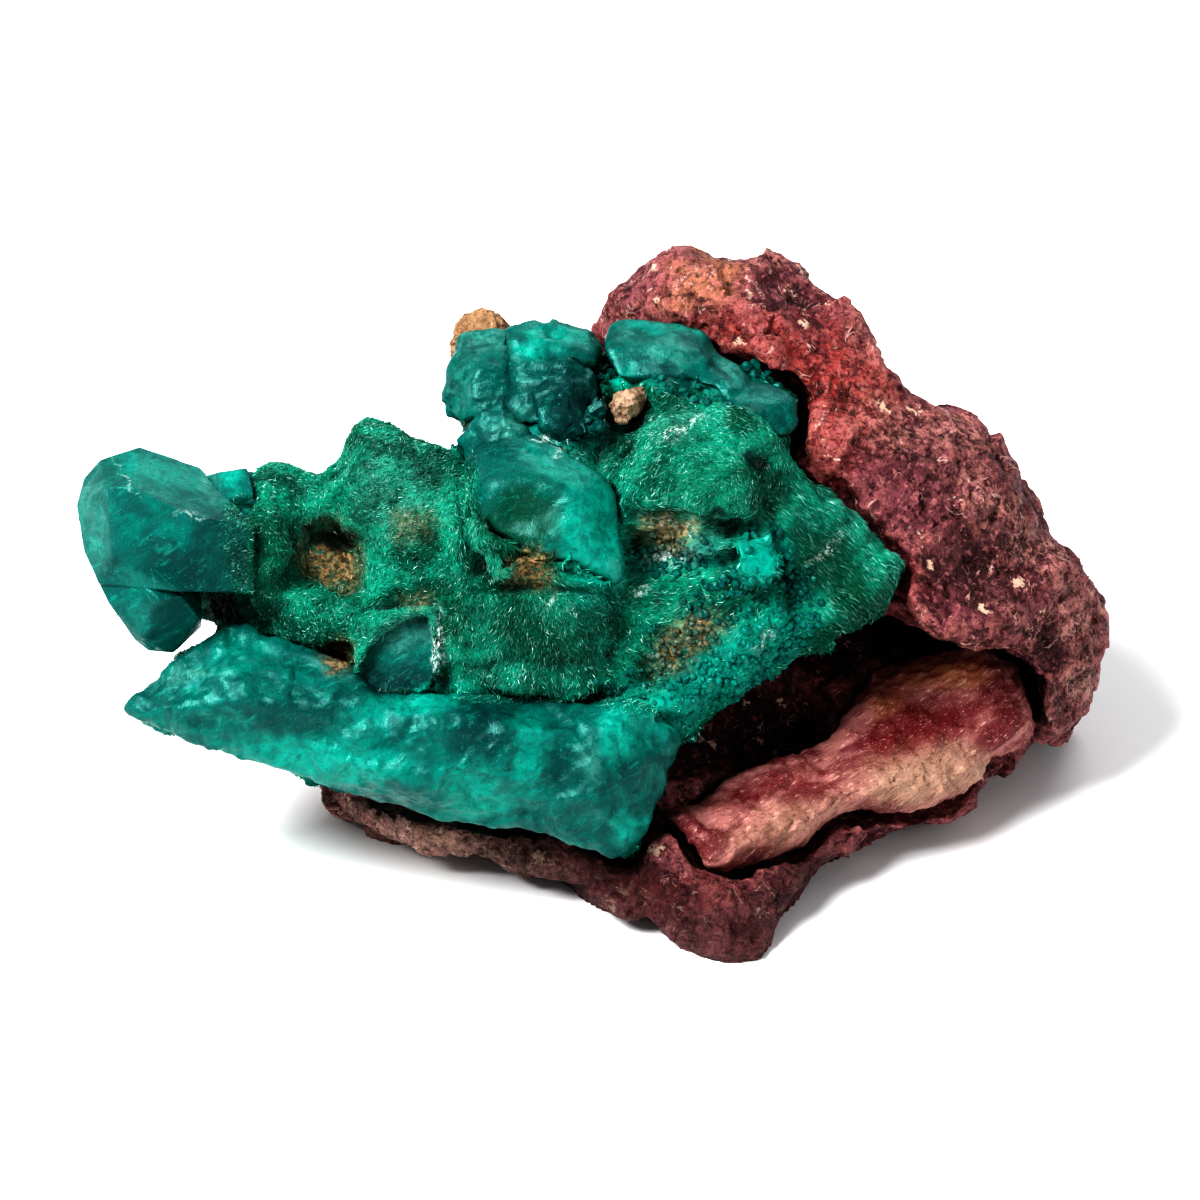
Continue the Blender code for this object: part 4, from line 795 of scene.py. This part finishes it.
def split_long_edges(mesh, longest, rounds=6):
    """Cuts edges until none is longer than longest mm."""
    for _ in range(rounds):
        long_edges = [edge for edge in mesh.edges if edge.calc_length() > longest * MM]
        if not long_edges:
            return
        bmesh.ops.subdivide_edges(mesh, edges=long_edges, cuts=1)
        bmesh.ops.triangulate(mesh, faces=[face for face in mesh.faces if len(face.verts) > 3])


def make_crystal(name, corners):
    """A crystal with softened edges and slightly uneven faces."""
    shape = crystal_shape(corners)
    bmesh.ops.bevel(shape, geom=shape.edges[:], offset=EDGE_ROUNDING * MM, segments=1, affect="EDGES")
    shape = in_fixed_order(shape)
    bmesh.ops.triangulate(shape, faces=shape.faces)
    split_long_edges(shape, CRYSTAL_STEP)
    crystal = link_shape(name, shape)
    points, normals = points_of(crystal), normals_of(crystal)
    rise = FACE_CHIPS * chips_at(points, 1.6, 8.0) + 0.35 * FACE_CHIPS * noise_at(points, 0.5, 9.0)
    points += normals * (rise - 0.5 * FACE_CHIPS)[:, None] * MM
    move_points(crystal, points)
    paint_green(crystal, points)
    shade_smooth(crystal, 22.0)
    return crystal


def make_mass(name, broken, rounds, crystals):
    """Crystals grown into one another, with rounded edges and uneven surfaces."""
    shape = bmesh.new()
    for corners in crystals.values():
        mesh = bpy.data.meshes.new("crystal")
        crystal = crystal_shape(corners)
        crystal.to_mesh(mesh)
        crystal.free()
        shape.from_mesh(mesh)
        bpy.data.meshes.remove(mesh)
    mass = link_shape(name, shape)
    skin(mass, MASS_STEP)
    move_points(mass, smoothed(mass, rounds))
    points, normals = points_of(mass), normals_of(mass)
    rise = 0.26 * chips_at(points, 2.4, 14.0) + 0.14 * chips_at(points, 1.0, 15.0)
    rise += 0.08 * chips_at(points, 0.5, 16.0)
    rise = broken * rise + 0.26 * noise_at(points, 2.6, 17.0) + 0.1 * noise_at(points, 1.1, 18.0)
    move_points(mass, points + normals * (rise + MASS_FULLNESS)[:, None] * MM)
    points = smoothed(mass, min(rounds, 2))
    move_points(mass, points)
    # The hollows of the mass take painted shade
    paint_green(mass, points, 0.4 * hollowness(mass, 60))
    shade_smooth(mass, 28.0)
    return mass


def make_crystals(material):
    made = [make_mass(name, *settings) for name, settings in MASSES.items()]
    made += [make_crystal(name, corners) for name, corners in CRYSTALS.items()]
    for piece in made:
        place_piece(piece, "dioptase_cluster", material)
    return made


# The green crust between the crystals

def crust_material():
    """Fine green druse, and clear glassy crystal where the glass patches lie."""
    paint = Paint("green_crust")
    glass = paint.stored("glass")
    zone, fine = paint.clouds(1.1, 5.0, 0.7, 1.0), paint.clouds(0.2, 6.0, 0.75)
    wide = paint.clouds(2.6, 3.0, 0.55)
    druse = paint.mix(tone(0, 80, 62), tone(20, 144, 120), paint.ramp(wide, 0.38, 0.62))
    druse = paint.laid(druse, tone(0, 52, 34), fine, 0.52, 0.4, 0.6)
    clear = paint.mix(tone(0, 78, 74), tone(0, 134, 120), paint.ramp(zone, 0.36, 0.62))
    speck = paint.ramp(paint.clouds(0.09, 3.0), 0.62, 0.7)
    clear = paint.mix(clear, tone(110, 210, 184), paint.product(speck, 0.5))
    base = green_colour(paint, paint.mix(druse, clear, glass))
    matt = paint.math("SUBTRACT", 1.16, glass)
    normal = paint.relief(paint.product(fine, matt), 0.12, 0.9)
    shine = paint.ramp(fine, 0.35, 0.65, 0.1, 0.32)
    rough = paint.node("ShaderNodeMix", {0: glass, 2: 0.55, 3: shine}, data_type="FLOAT").outputs[0]
    paint.surface(Base_Color=base, Roughness=rough, Normal=normal, IOR=1.66)
    paint.surface(Transmission_Weight=paint.product(glass, 0.3))
    paint.surface(Specular_IOR_Level=0.12, Specular_Tint=GLINT)
    return paint.material


# Dips between the lumps of the crust, and fills where the depth is below 0, as (u, v,
# reach across, reach up, turn, depth in mm)
CRUST_DIPS = [
    (-13.1, 15.2, 0.8, 0.7, 0, 0.5),  # the small ochre pocket
    (-3.2, 19.9, 2.8, 0.9, -8, 1.1),  # below the heart
    (-3.5, 19.5, 0.9, 0.7, 0, 0.6),  # the brown spot
    (-3.0, 18.0, 3.6, 0.8, 0, -0.9),
    (0.9, 24.4, 0.45, 2.4, -15, 0.5),  # between the heart and the dome
    (4.5, 21.9, 3.6, 0.5, -5, 0.5),  # below the dome
    (9.1, 20.4, 0.4, 4.0, 12, 0.4),  # left of the wing
    (-6.6, 26.4, 1.8, 0.35, -10, 0.5),  # below the crown
    (-10.2, 18.3, 2.6, 0.35, 20, 0.3),
    (-16.7, 20.4, 0.8, 2.6, 0, -1.6),  # against the left crystal
    (-3.4, 14.0, 4.6, 0.7, 4, -1.3),  # against the lower crystals
    (2.6, 13.2, 2.6, 0.7, -10, -0.7),
    (-7.3, 22.6, 0.6, 2.8, 0, -0.6),  # against the heart
    (-8.4, 26.2, 0.9, 0.7, 0, -0.5),  # below the left of the crown
    (3.4, 28.7, 2.8, 0.8, -6, -0.9),  # against the shoulder
    (7.2, 27.0, 2.2, 0.7, -35, -0.8),
]


def dips_at(places):
    total = np.zeros(len(places))
    for u, v, across, up, turn, depth in CRUST_DIPS:
        total += depth * painted(places, [(u, v, across, up, turn, 1.0)])
    return total


# Where the crust and its needles creep over the large crystals
OVERGROWN = [
    (-11.2, 16.9, 1.3, 0.35, 42, 0.9), (-9.2, 17.7, 1.0, 0.35, 10, 0.9), (-17.7, 20.6, 1.2, 3.2, 8, 1.0),
    (-18.2, 22.4, 0.7, 0.5, -20, 0.8), (-6.4, 23.0, 0.5, 2.6, 0, 0.9), (-4.2, 20.7, 1.8, 0.5, -8, 0.9),
    (-0.8, 19.4, 1.6, 0.35, -24, 0.8), (-3.6, 13.4, 4.0, 0.5, 2, 0.8), (-14.6, 16.2, 1.6, 0.4, -30, 0.6),
    (1.8, 12.8, 2.6, 0.6, -10, 0.7), (-1.0, 25.2, 1.2, 0.4, -20, 0.4),
]

WINDOW_OPENING = [
    (-12.5, 14.8, 3.0), (-11.8, 16.6, 3.0), (-10.2, 17.7, 3.0), (-8.4, 17.8, 3.0), (-8.3, 14.5, 3.0),
    (-9.0, 13.4, 3.0), (-11.4, 13.1, 3.0), (-12.4, 13.6, 3.0), (-11.4, 14.8, -1.0),
    (-9.6, 16.6, -1.0), (-8.6, 16.8, -1.0), (-8.6, 14.2, -1.0), (-11.4, 14.0, -1.0),
]


def floor_pit(points):
    """Lifts the bottom of the open pit to a floor that slopes up to the lower left."""
    places = face_places(points)
    floor = PIT_FLOOR + 0.35 * (PIT[0] - places[:, 0]) + 0.5 * (PIT[1] - places[:, 1])
    floor += 0.2 * chips_at(points, 0.7, 19.0)
    inside = (painted(places, [PIT]) > 0.3) & (places[:, 2] > PIT_BOTTOM)
    places[:, 2] = np.where(inside, np.maximum(places[:, 2], floor), places[:, 2])
    return upright_points(places)


HOLLOW_SCALE = 1.02  # of a crystal's hollow in the crust, against the crystal


def large_crystals():
    """The corners of every large crystal, those of the masses included."""
    grown_in = [corners for *_, crystals in MASSES.values() for corners in crystals.values()]
    return [*CRYSTALS.values(), *grown_in]


def make_crust():
    """The body that the clear crystals sit in, with a hollow where each of them is."""
    crust = copy_of("dioptase_cluster", "crust")
    for corners in [*large_crystals(), WINDOW_OPENING]:
        shape = crystal_shape(corners)
        centre = sum((vertex.co for vertex in shape.verts), Vector()) / len(shape.verts)
        for vertex in shape.verts:
            vertex.co = centre + (vertex.co - centre) * HOLLOW_SCALE
        bmesh.ops.triangulate(shape, faces=shape.faces)
        cutter = link_shape("cutter", shape)
        cut = crust.modifiers.new("cut", "BOOLEAN")
        cut.operation = "DIFFERENCE"
        cut.solver = "EXACT"
        cut.object = cutter
        apply_modifiers(crust)
        bpy.data.objects.remove(cutter)
    skin(crust, CRUST_STEP)
    keep_largest(crust)
    points, normals = points_of(crust), normals_of(crust)
    places = face_places(points)
    glass = painted(places, GREEN_PATCHES["glass"])
    granular = 0.12 * chips_at(points, 0.9, 11.0) + 0.2 * noise_at(points, 1.2, 12.0)
    granular += 0.08 * ridges_at(points, 0.45, 13.0)
    broken = 0.34 * chips_at(points, 2.6, 14.0) + 0.16 * chips_at(points, 1.2, 15.0)
    rise = granular * (1.0 - glass) + broken * glass
    inset = SURFACE_INSET * (1.0 - 0.4 * glass) - 0.2 * painted(places, OVERGROWN)
    facing = np.clip(0.4 + normals @ FACE_OUT, 0.0, 1.0)
    points += normals * (rise - inset - facing * dips_at(places))[:, None] * MM
    move_points(crust, floor_pit(points))
    points = points_of(crust)
    # How hollow each point lies, for painted shade in the hollows, weaker on the glass and in the ochre pit
    hollow = 0.6 * hollowness(crust, 12) + 0.6 * hollowness(crust, 110)
    hollow *= (1.0 - 0.6 * glass) * (1.0 - 0.85 * ochre_at(face_places(points)))
    paint_green(crust, points, hollow)
    shade_smooth(crust, 30.0)
    place_piece(crust, "dioptase_cluster", crust_material())
    return crust, hollow


# The needles that cover the crust

def along(turn):
    """Needles lie along one direction, in degrees from +u."""
    direction = (math.cos(math.radians(turn)), math.sin(math.radians(turn)))
    return lambda places: np.tile(direction, (len(places), 1))


def around(u, v):
    """Needles lie along circles about a place."""
    return lambda places: np.stack([-(places[:, 1] - v), places[:, 0] - u], axis=1)


def away_from(u, v):
    """Needles fan out from a place."""
    return lambda places: np.stack([places[:, 0] - u, places[:, 1] - v], axis=1)


# Where needles stand and how: the way they lie, how far in degrees they stray from it, how
# flat they lie (0 to 1), their length and width in mm, and how many stand on a square mm
NeedleZone = namedtuple("NeedleZone", "patches flow stray flat length width density")
NEEDLE_ZONES = {
    "wing": NeedleZone([(11.6, 21.0, 4.0, 3.6, -40, 1.0)], along(-42), 9, 0.95, 0.4, 0.055, 140),
    "dome": NeedleZone([(5.0, 25.2, 4.8, 3.4, 0, 1.0)], around(5.3, 22.6), 32, 0.92, 0.26, 0.06, 150),
    "beard": NeedleZone([(-3.0, 16.4, 3.6, 2.8, 0, 1.0)], away_from(-3.2, 20.9), 22, 0.85, 0.28, 0.055, 150),
    "strand": NeedleZone([(-6.6, 19.6, 1.6, 5.6, 0, 1.0)], along(-86), 30, 0.85, 0.25, 0.055, 140),
    "saddle": NeedleZone([(3.4, 20.6, 3.0, 3.4, 0, 1.0)], along(4), 20, 0.9, 0.3, 0.07, 70),
    "slope": NeedleZone([(6.5, 16.2, 5.0, 2.8, 35, 1.0)], along(38), 30, 0.85, 0.28, 0.08, 50),
    "left": NeedleZone([(-17.4, 20.6, 4.2, 6.0, 0, 0.9)], along(-75), 50, 0.75, 0.21, 0.055, 130),
    "ridge": NeedleZone([(-9.8, 20.6, 4.6, 7.0, 0, 0.9)], along(35), 45, 0.75, 0.22, 0.055, 114),
}
PLAIN_ZONE = NeedleZone([], along(-60), 40, 0.7, 0.32, 0.11, 24)

# How many sides a small crystal has, and its shape from foot to tip: shares of length and width
NEEDLE_SIDES, NEEDLE_PROFILE = 3, [(-0.1, 1.0), (1.0, 0.0)]
BLOCK_SIDES, BLOCK_PROFILE = 6, [(-0.2, 0.9), (0.55, 1.0), (0.85, 0.5), (0.95, 0.0)]


def needle_material():
    paint = Paint("needle_druse")
    shade, tip = paint.stored("shade"), paint.stored("tip")
    wide = paint.clouds(2.6, 3.0, 0.55)
    lit = paint.math("ADD", paint.product(shade, 0.6), paint.ramp(wide, 0.36, 0.66, -0.1, 0.5))
    base = paint.mix(tone(0, 82, 64), tone(30, 150, 126), paint.ramp(lit, 0.1, 0.9))
    base = paint.laid(base, tone(150, 208, 190), shade, 0.84, 0.97, 0.7)
    base = green_colour(paint, base, 0.75)
    # Darker towards the foot of each needle: painted shade where it stands in the crust
    base = paint.laid(base, tone(0, 44, 28), tip, 0.3, 0.0, 0.4)
    paint.surface(Base_Color=base, Roughness=paint.ramp(shade, 0.0, 1.0, 0.4, 0.2), IOR=1.66)
    paint.surface(Specular_IOR_Level=0.2)
    return paint.material


def grain_mesh(name, roots, directions, lengths, widths, sides, profile, generator):
    """Many small crystals as one mesh of closed shells. profile is the shape from the foot to
    the tip: each ring's share of the length and of the width, with a point at the tip. Returns
    the piece, and each vertex's crystal and its share of the way to the tip."""
    count = len(roots)
    first = unit(np.cross(directions, generator.normal(size=(count, 3))))
    second = np.cross(directions, first)
    rows, shares = [], []
    for share, girth in profile:
        middle = roots + directions * (share * lengths)[:, None]
        for k in range(sides if girth else 1):
            angle = 2.0 * math.pi * k / sides
            offset = first * math.cos(angle) + second * math.sin(angle)
            rows.append(middle + offset * (0.5 * girth * widths)[:, None])
            shares.append(share)
    last = len(rows) - 1
    rings = len(profile) - 1
    triangles = [(0, k + 1, k) for k in range(1, sides - 1)]
    for k in range(sides):
        after = (k + 1) % sides
        for ring in range(rings - 1):
            low, high = ring * sides, (ring + 1) * sides
            triangles.append((low + k, low + after, high + after))
            triangles.append((low + k, high + after, high + k))
        high = (rings - 1) * sides
        triangles.append((high + k, high + after, last))
    starts = np.arange(count) * len(rows)
    faces = (starts[:, None, None] + np.array(triangles)).reshape(-1, 3)
    data = bpy.data.meshes.new(name)
    data.from_pydata(np.stack(rows, axis=1).reshape(-1, 3).tolist(), [], faces.tolist())
    return link_mesh(name, data), np.repeat(np.arange(count), len(rows)), np.tile(shares, count)


def scatter(piece, per_square, generator):
    """Random places on the piece: points, normals and the number of a vertex near by."""
    data = piece.data
    data.calc_loop_triangles()
    corners = np.empty(3 * len(data.loop_triangles), dtype=int)
    data.loop_triangles.foreach_get("vertices", corners)
    corners = corners.reshape(-1, 3)
    points, normals = points_of(piece), normals_of(piece)
    a, b, c = (points[corners[:, k]] for k in range(3))
    areas = 0.5 * np.linalg.norm(np.cross(b - a, c - a), axis=1) / MM ** 2
    wanted = generator.poisson(areas * per_square)
    chosen = np.repeat(np.arange(len(corners)), wanted)
    r, s = generator.random((2, len(chosen)))
    flip = r + s > 1.0
    r[flip], s[flip] = 1.0 - r[flip], 1.0 - s[flip]
    spots = a[chosen] + (b - a)[chosen] * r[:, None] + (c - a)[chosen] * s[:, None]
    ways = sum(normals[corners[chosen, k]] for k in range(3))
    return spots, unit(ways), corners[chosen, 0]


BURIED_REACH = 0.08  # mm from a large crystal within which a needle would be hidden


def buried(points):
    """Which points lie in one of the large crystals, or close under its faces."""
    inside = np.zeros(len(points), dtype=bool)
    for corners in large_crystals():
        shape = crystal_shape(corners)
        within = np.ones(len(points), dtype=bool)
        for face in shape.faces:
            offsets = points - np.array(face.calc_center_median())
            within &= offsets @ np.array(face.normal) < BURIED_REACH * MM
        inside |= within
        shape.free()
    return inside


def directions_of(zone, places, normals, generator):
    """The ways that the needles at some places of a zone point."""
    flows = zone.flow(places)
    turns = np.radians(zone.stray) * generator.normal(size=len(flows))
    across = flows[:, 0] * np.cos(turns) - flows[:, 1] * np.sin(turns)
    up = flows[:, 0] * np.sin(turns) + flows[:, 1] * np.cos(turns)
    lie = upright(np.column_stack([across, up, np.zeros(len(flows))]))
    lie = unit(lie - normals * (lie * normals).sum(axis=1, keepdims=True))
    wander = (0.5 - 0.4 * zone.flat) * generator.normal(size=(len(flows), 3))
    directions = unit(lie * zone.flat + normals * (1.0 - zone.flat) + wander)
    sunk = np.minimum((directions * normals).sum(axis=1), 0.0)
    return unit(directions - sunk[:, None] * normals)


def make_needles(crust, hollow, crystals):
    """Needles over the crust where it isn't glassy, laid by zone. One piece for each zone."""
    material = needle_material()
    generator = np.random.default_rng(7)
    densest = max(zone.density for zone in NEEDLE_ZONES.values())
    spots, ways, near = scatter(crust, densest, generator)
    open_to_view = ~buried(spots)
    spots, ways, near = spots[open_to_view], ways[open_to_view], near[open_to_view]
    places = face_places(spots)
    lots = generator.random(len(spots))
    glass = painted(places, GREEN_PATCHES["glass"])
    front = ways @ FACE_OUT
    reach = np.stack([painted(places, zone.patches) for zone in NEEDLE_ZONES.values()])
    best = np.where(reach.max(axis=0) > 0.25, reach.argmax(axis=0), -1)
    best[front < -0.3] = -1
    for bearer in crystals:
        more, more_ways, _ = scatter(bearer, densest, generator)
        grown = painted(face_places(more), OVERGROWN) > generator.uniform(0.3, 0.9, len(more))
        spots, ways = np.concatenate([spots, more[grown]]), np.concatenate([ways, more_ways[grown]])
        near = np.concatenate([near, np.full(grown.sum(), len(hollow))])
        best = np.concatenate([best, np.full(grown.sum(), len(NEEDLE_ZONES) - 1)])
        lots, glass = (np.concatenate([values, np.zeros(grown.sum())]) for values in (lots, glass))
    places = face_places(spots)
    ochre = ochre_at(places)
    hollow = np.append(hollow, 0.0)
    best[best < 0] = len(NEEDLE_ZONES)
    for index, (name, zone) in enumerate([*NEEDLE_ZONES.items(), ("rest", PLAIN_ZONE)]):
        allowed = zone.density / densest * (1.0 - 0.97 * glass) * (1.0 - 0.85 * ochre)
        mine = (best == index) & (lots < allowed)
        roots = spots[mine]
        directions = directions_of(zone, places[mine], ways[mine], generator)
        lengths = zone.length * MM * generator.uniform(0.55, 1.3, len(roots))
        widths = zone.width * MM * generator.uniform(0.6, 1.3, len(roots))
        piece, owner, tips = grain_mesh("needles_" + name, roots, directions, lengths, widths,
                                        NEEDLE_SIDES, NEEDLE_PROFILE, generator)
        move_points(piece, points_of(piece))
        store(piece, "tip", tips)
        store(piece, "shade", generator.random(len(roots))[owner])
        # Each needle takes the painted shade of the hollow it stands in
        paint_green(piece, roots[owner], hollow[near[mine]][owner])
        place_piece(piece, "dioptase_cluster", material)


# Small blocky crystals: where they stand, their length in mm and how many to a square mm
BlockZone = namedtuple("BlockZone", "patches size density")
BLOCK_ZONES = [
    BlockZone([(-4.0, 28.4, 4.6, 4.0, 0, 1.0)], 0.9, 0.8),
    BlockZone([(5.0, 30.0, 5.4, 2.0, -10, 1.0)], 0.7, 1.0),
    BlockZone([(1.6, 10.8, 3.0, 3.6, 0, 1.0)], 0.6, 4.0),
    BlockZone([(-18.2, 23.2, 1.0, 1.4, 0, 1.0)], 0.8, 3.0),
    BlockZone([(8.2, 20.3, 1.6, 1.6, 0, 1.2)], 0.8, 1.4),
    BlockZone([(3.6, 20.4, 2.6, 1.2, 0, 1.0)], 0.5, 6.0),
    BlockZone([(6.5, 16.4, 5.2, 2.8, 35, 1.0)], 0.55, 7.0),
]


def make_blocks(crust, hollow, material):
    """Small crystals with flat faces, half sunk in the crust."""
    generator = np.random.default_rng(11)
    densest = max(zone.density for zone in BLOCK_ZONES)
    spots, ways, near = scatter(crust, densest, generator)
    places = face_places(spots)
    reach = np.stack([painted(places, zone.patches) for zone in BLOCK_ZONES])
    best = reach.argmax(axis=0)
    sizes = np.array([zone.size for zone in BLOCK_ZONES])[best]
    share = np.array([zone.density for zone in BLOCK_ZONES])[best] / densest
    mine = generator.random(len(spots)) < share * (reach.max(axis=0) > 0.3)
    roots, normals, sizes = spots[mine], ways[mine], sizes[mine] * MM
    directions = unit(normals + 0.55 * generator.normal(size=(len(roots), 3)))
    lengths = sizes * generator.uniform(0.5, 1.2, len(roots))
    widths = lengths * generator.uniform(0.5, 0.95, len(roots))
    roots = roots - normals * (0.4 * lengths)[:, None]
    piece, owner, _ = grain_mesh("small_crystals", roots, directions, lengths, widths,
                                 BLOCK_SIDES, BLOCK_PROFILE, generator)
    move_points(piece, points_of(piece))
    # The small crystals take a little of the painted shade of the hollows they stand in
    paint_green(piece, roots[owner], 0.2 * hollow[near[mine]][owner])
    place_piece(piece, "dioptase_cluster", material)


# The seam and the two ochre stones

def seam_material():
    paint = Paint("banded_calcite")
    bands = paint.clouds(1.0, 4.0, 0.6, 0.5, place=paint.stretched((0, -28, 0), (6.0, 2.0, 1.0)))
    fibres = paint.clouds(0.13, 4.0, 0.7, 0.5, place=paint.stretched((0, -35, 20), (7.0, 1.0, 1.0)))
    colour = paint.mix(tone(100, 42, 46), tone(160, 108, 104), paint.ramp(bands, 0.4, 0.62))
    colour = paint.patched(colour, tone(98, 22, 28), "red", 0.9)
    colour = paint.patched(colour, tone(152, 98, 70), "orange", 0.85)
    colour = paint.patched(colour, tone(164, 134, 114), "cream", 0.95)
    colour = paint.laid(colour, tone(84, 28, 28), fibres, 0.46, 0.36, 0.6)
    colour = paint.laid(colour, tone(214, 184, 160), fibres, 0.58, 0.68, 0.5)
    normal = paint.relief(fibres, 0.06, 0.8)
    speckle = paint.clouds(0.1, 3.0, 0.8)
    colour = paint.laid(colour, tone(220, 190, 170), speckle, 0.6, 0.68, 0.45)
    colour = paint.laid(colour, tone(60, 14, 16), speckle, 0.42, 0.34, 0.45)
    rough = paint.ramp(fibres, 0.3, 0.7, 0.6, 0.35)
    paint.surface(Base_Color=colour, Roughness=rough, Normal=normal, IOR=1.5, Specular_IOR_Level=0.3)
    return paint.material


SEAM_PATCHES = {
    "red": [(16.5, 11.9, 3.6, 1.6, 10, 1.0), (8.0, 8.6, 2.6, 0.6, 20, 0.6), (20.0, 12.4, 1.0, 1.6, 0, 0.5)],
    "orange": [(17.5, 14.4, 2.6, 0.8, 0, 1.0), (14.5, 13.0, 1.4, 0.7, 30, 0.6)],
    "cream": [(16.4, 9.2, 3.6, 1.4, 8, 0.9), (19.4, 9.2, 0.9, 1.1, 0, 1.0), (9.6, 6.9, 3.4, 1.2, 18, 0.5)],
}


def make_seam():
    seam = copy_of("calcite_seam", "seam")
    skin(seam, SEAM_STEP)
    points, normals = points_of(seam), normals_of(seam)
    grain = points @ np.array([[0.9, 0.0, 0.42], [0.0, 1.0, 0.0], [-0.42, 0.0, 0.9]]).T
    layered = grain * np.array([0.16, 0.5, 1.0])
    rise = 0.18 * noise_at(layered, 0.7, 21.0) + 0.1 * ridges_at(layered, 0.35, 22.0)
    rise += 0.14 * chips_at(points, 1.6, 23.0) + 0.07 * chips_at(points, 0.6, 24.0)
    points += normals * (rise - 0.1)[:, None] * MM
    move_points(seam, points)
    places = face_places(points)
    places[:, :2] += wavering(points, 1.2, 0.5)
    for name, patches in SEAM_PATCHES.items():
        store(seam, name, painted(places, patches))
    shade_smooth(seam, 40.0)
    place_piece(seam, "calcite_seam", seam_material())


def ochre_material(name, dark, light):
    paint = Paint(name)
    blotch, grain = paint.clouds(0.8, 4.0, 0.65), paint.clouds(0.14, 4.0, 0.7)
    colour = paint.mix(dark, light, paint.ramp(blotch, 0.36, 0.6))
    colour = paint.laid(colour, tone(96, 62, 40), grain, 0.46, 0.34, 0.7)
    colour = paint.laid(colour, tone(226, 204, 168), grain, 0.58, 0.7, 0.6)
    paint.surface(Base_Color=colour, Roughness=0.75, Normal=paint.relief(grain, 0.14, 1.0), IOR=1.5)
    return paint.material


def make_ochre(node, slot, dark, light):
    stone = copy_of(node, slot + "_stone")
    skin(stone, STONE_STEP)
    points, normals = points_of(stone), normals_of(stone)
    rise = 0.1 * chips_at(points, 0.8, 31.0) + 0.12 * noise_at(points, 0.35, 32.0)
    rise += 0.08 * chips_at(points, 0.3, 33.0)
    points += normals * (rise - 0.06)[:, None] * MM
    move_points(stone, points)
    shade_smooth(stone, 40.0)
    place_piece(stone, node, ochre_material(slot + "_grain", dark, light))


# The floor, the lights and the camera

def make_floor():
    shape = bmesh.new()
    bmesh.ops.create_grid(shape, x_segments=1, y_segments=1, size=2.0)
    floor = link_shape("floor", shape)
    paint = Paint("pale_floor")
    paint.surface(Base_Color=(0.86, 0.86, 0.86, 1.0), Roughness=0.8)
    floor.data.materials.append(paint.material)


def add_light(name, direction, distance, size, power):
    """An area light that faces the specimen from a direction (across, back, up)."""
    light = bpy.data.lights.new(name, "AREA")
    light.shape = "DISK"
    light.size = size
    light.energy = power
    lamp = bpy.data.objects.new(name, light)
    bpy.context.scene.collection.objects.link(lamp)
    target = face_point(*VIEW_CENTRE, 0.0)
    lamp.location = target + Vector(direction).normalized() * distance
    lamp.rotation_euler = (target - lamp.location).to_track_quat("-Z", "Y").to_euler()


def set_stage():
    make_floor()
    add_light("key", (-0.7, -0.45, 1.0), 0.5, 0.26, 4.0)
    add_light("fill", (0.9, -0.8, 0.5), 0.6, 0.3, 0.6)
    add_light("rim", (0.35, 0.9, 0.9), 0.5, 0.3, 0.7)
    world = bpy.data.worlds.new("studio")
    world.use_nodes = True
    sky = world.node_tree.nodes["Background"]
    sky.inputs["Color"].default_value = (0.9, 0.93, 0.95, 1.0)
    sky.inputs["Strength"].default_value = 0.36
    bpy.context.scene.world = world
    camera = bpy.data.cameras.new("camera")
    camera.sensor_width = SENSOR
    camera.lens = SENSOR * VIEW_DISTANCE / VIEW_WIDTH
    camera.clip_start = 0.01
    view = bpy.data.objects.new("camera", camera)
    bpy.context.scene.collection.objects.link(view)
    target = face_point(*VIEW_CENTRE, 0.0)
    view.location = target + Vector(FACE_OUT) * VIEW_DISTANCE
    view.rotation_euler = (target - view.location).to_track_quat("-Z", "Y").to_euler()
    bpy.context.scene.camera = view
    bpy.context.scene.view_settings.view_transform = "Standard"
    bpy.context.scene.view_settings.look = "Very High Contrast"


set_stage()
make_rock()
clear_dioptase = crystal_material()
crystals = make_crystals(clear_dioptase)
green_crust, crust_hollow_shade = make_crust()
make_needles(green_crust, crust_hollow_shade, crystals)
make_blocks(green_crust, crust_hollow_shade, clear_dioptase)
make_seam()
make_ochre("ochre_lump", "ochre", tone(116, 84, 58), tone(160, 126, 94))
make_ochre("ochre_chip", "chip", tone(120, 92, 72), tone(172, 146, 122))
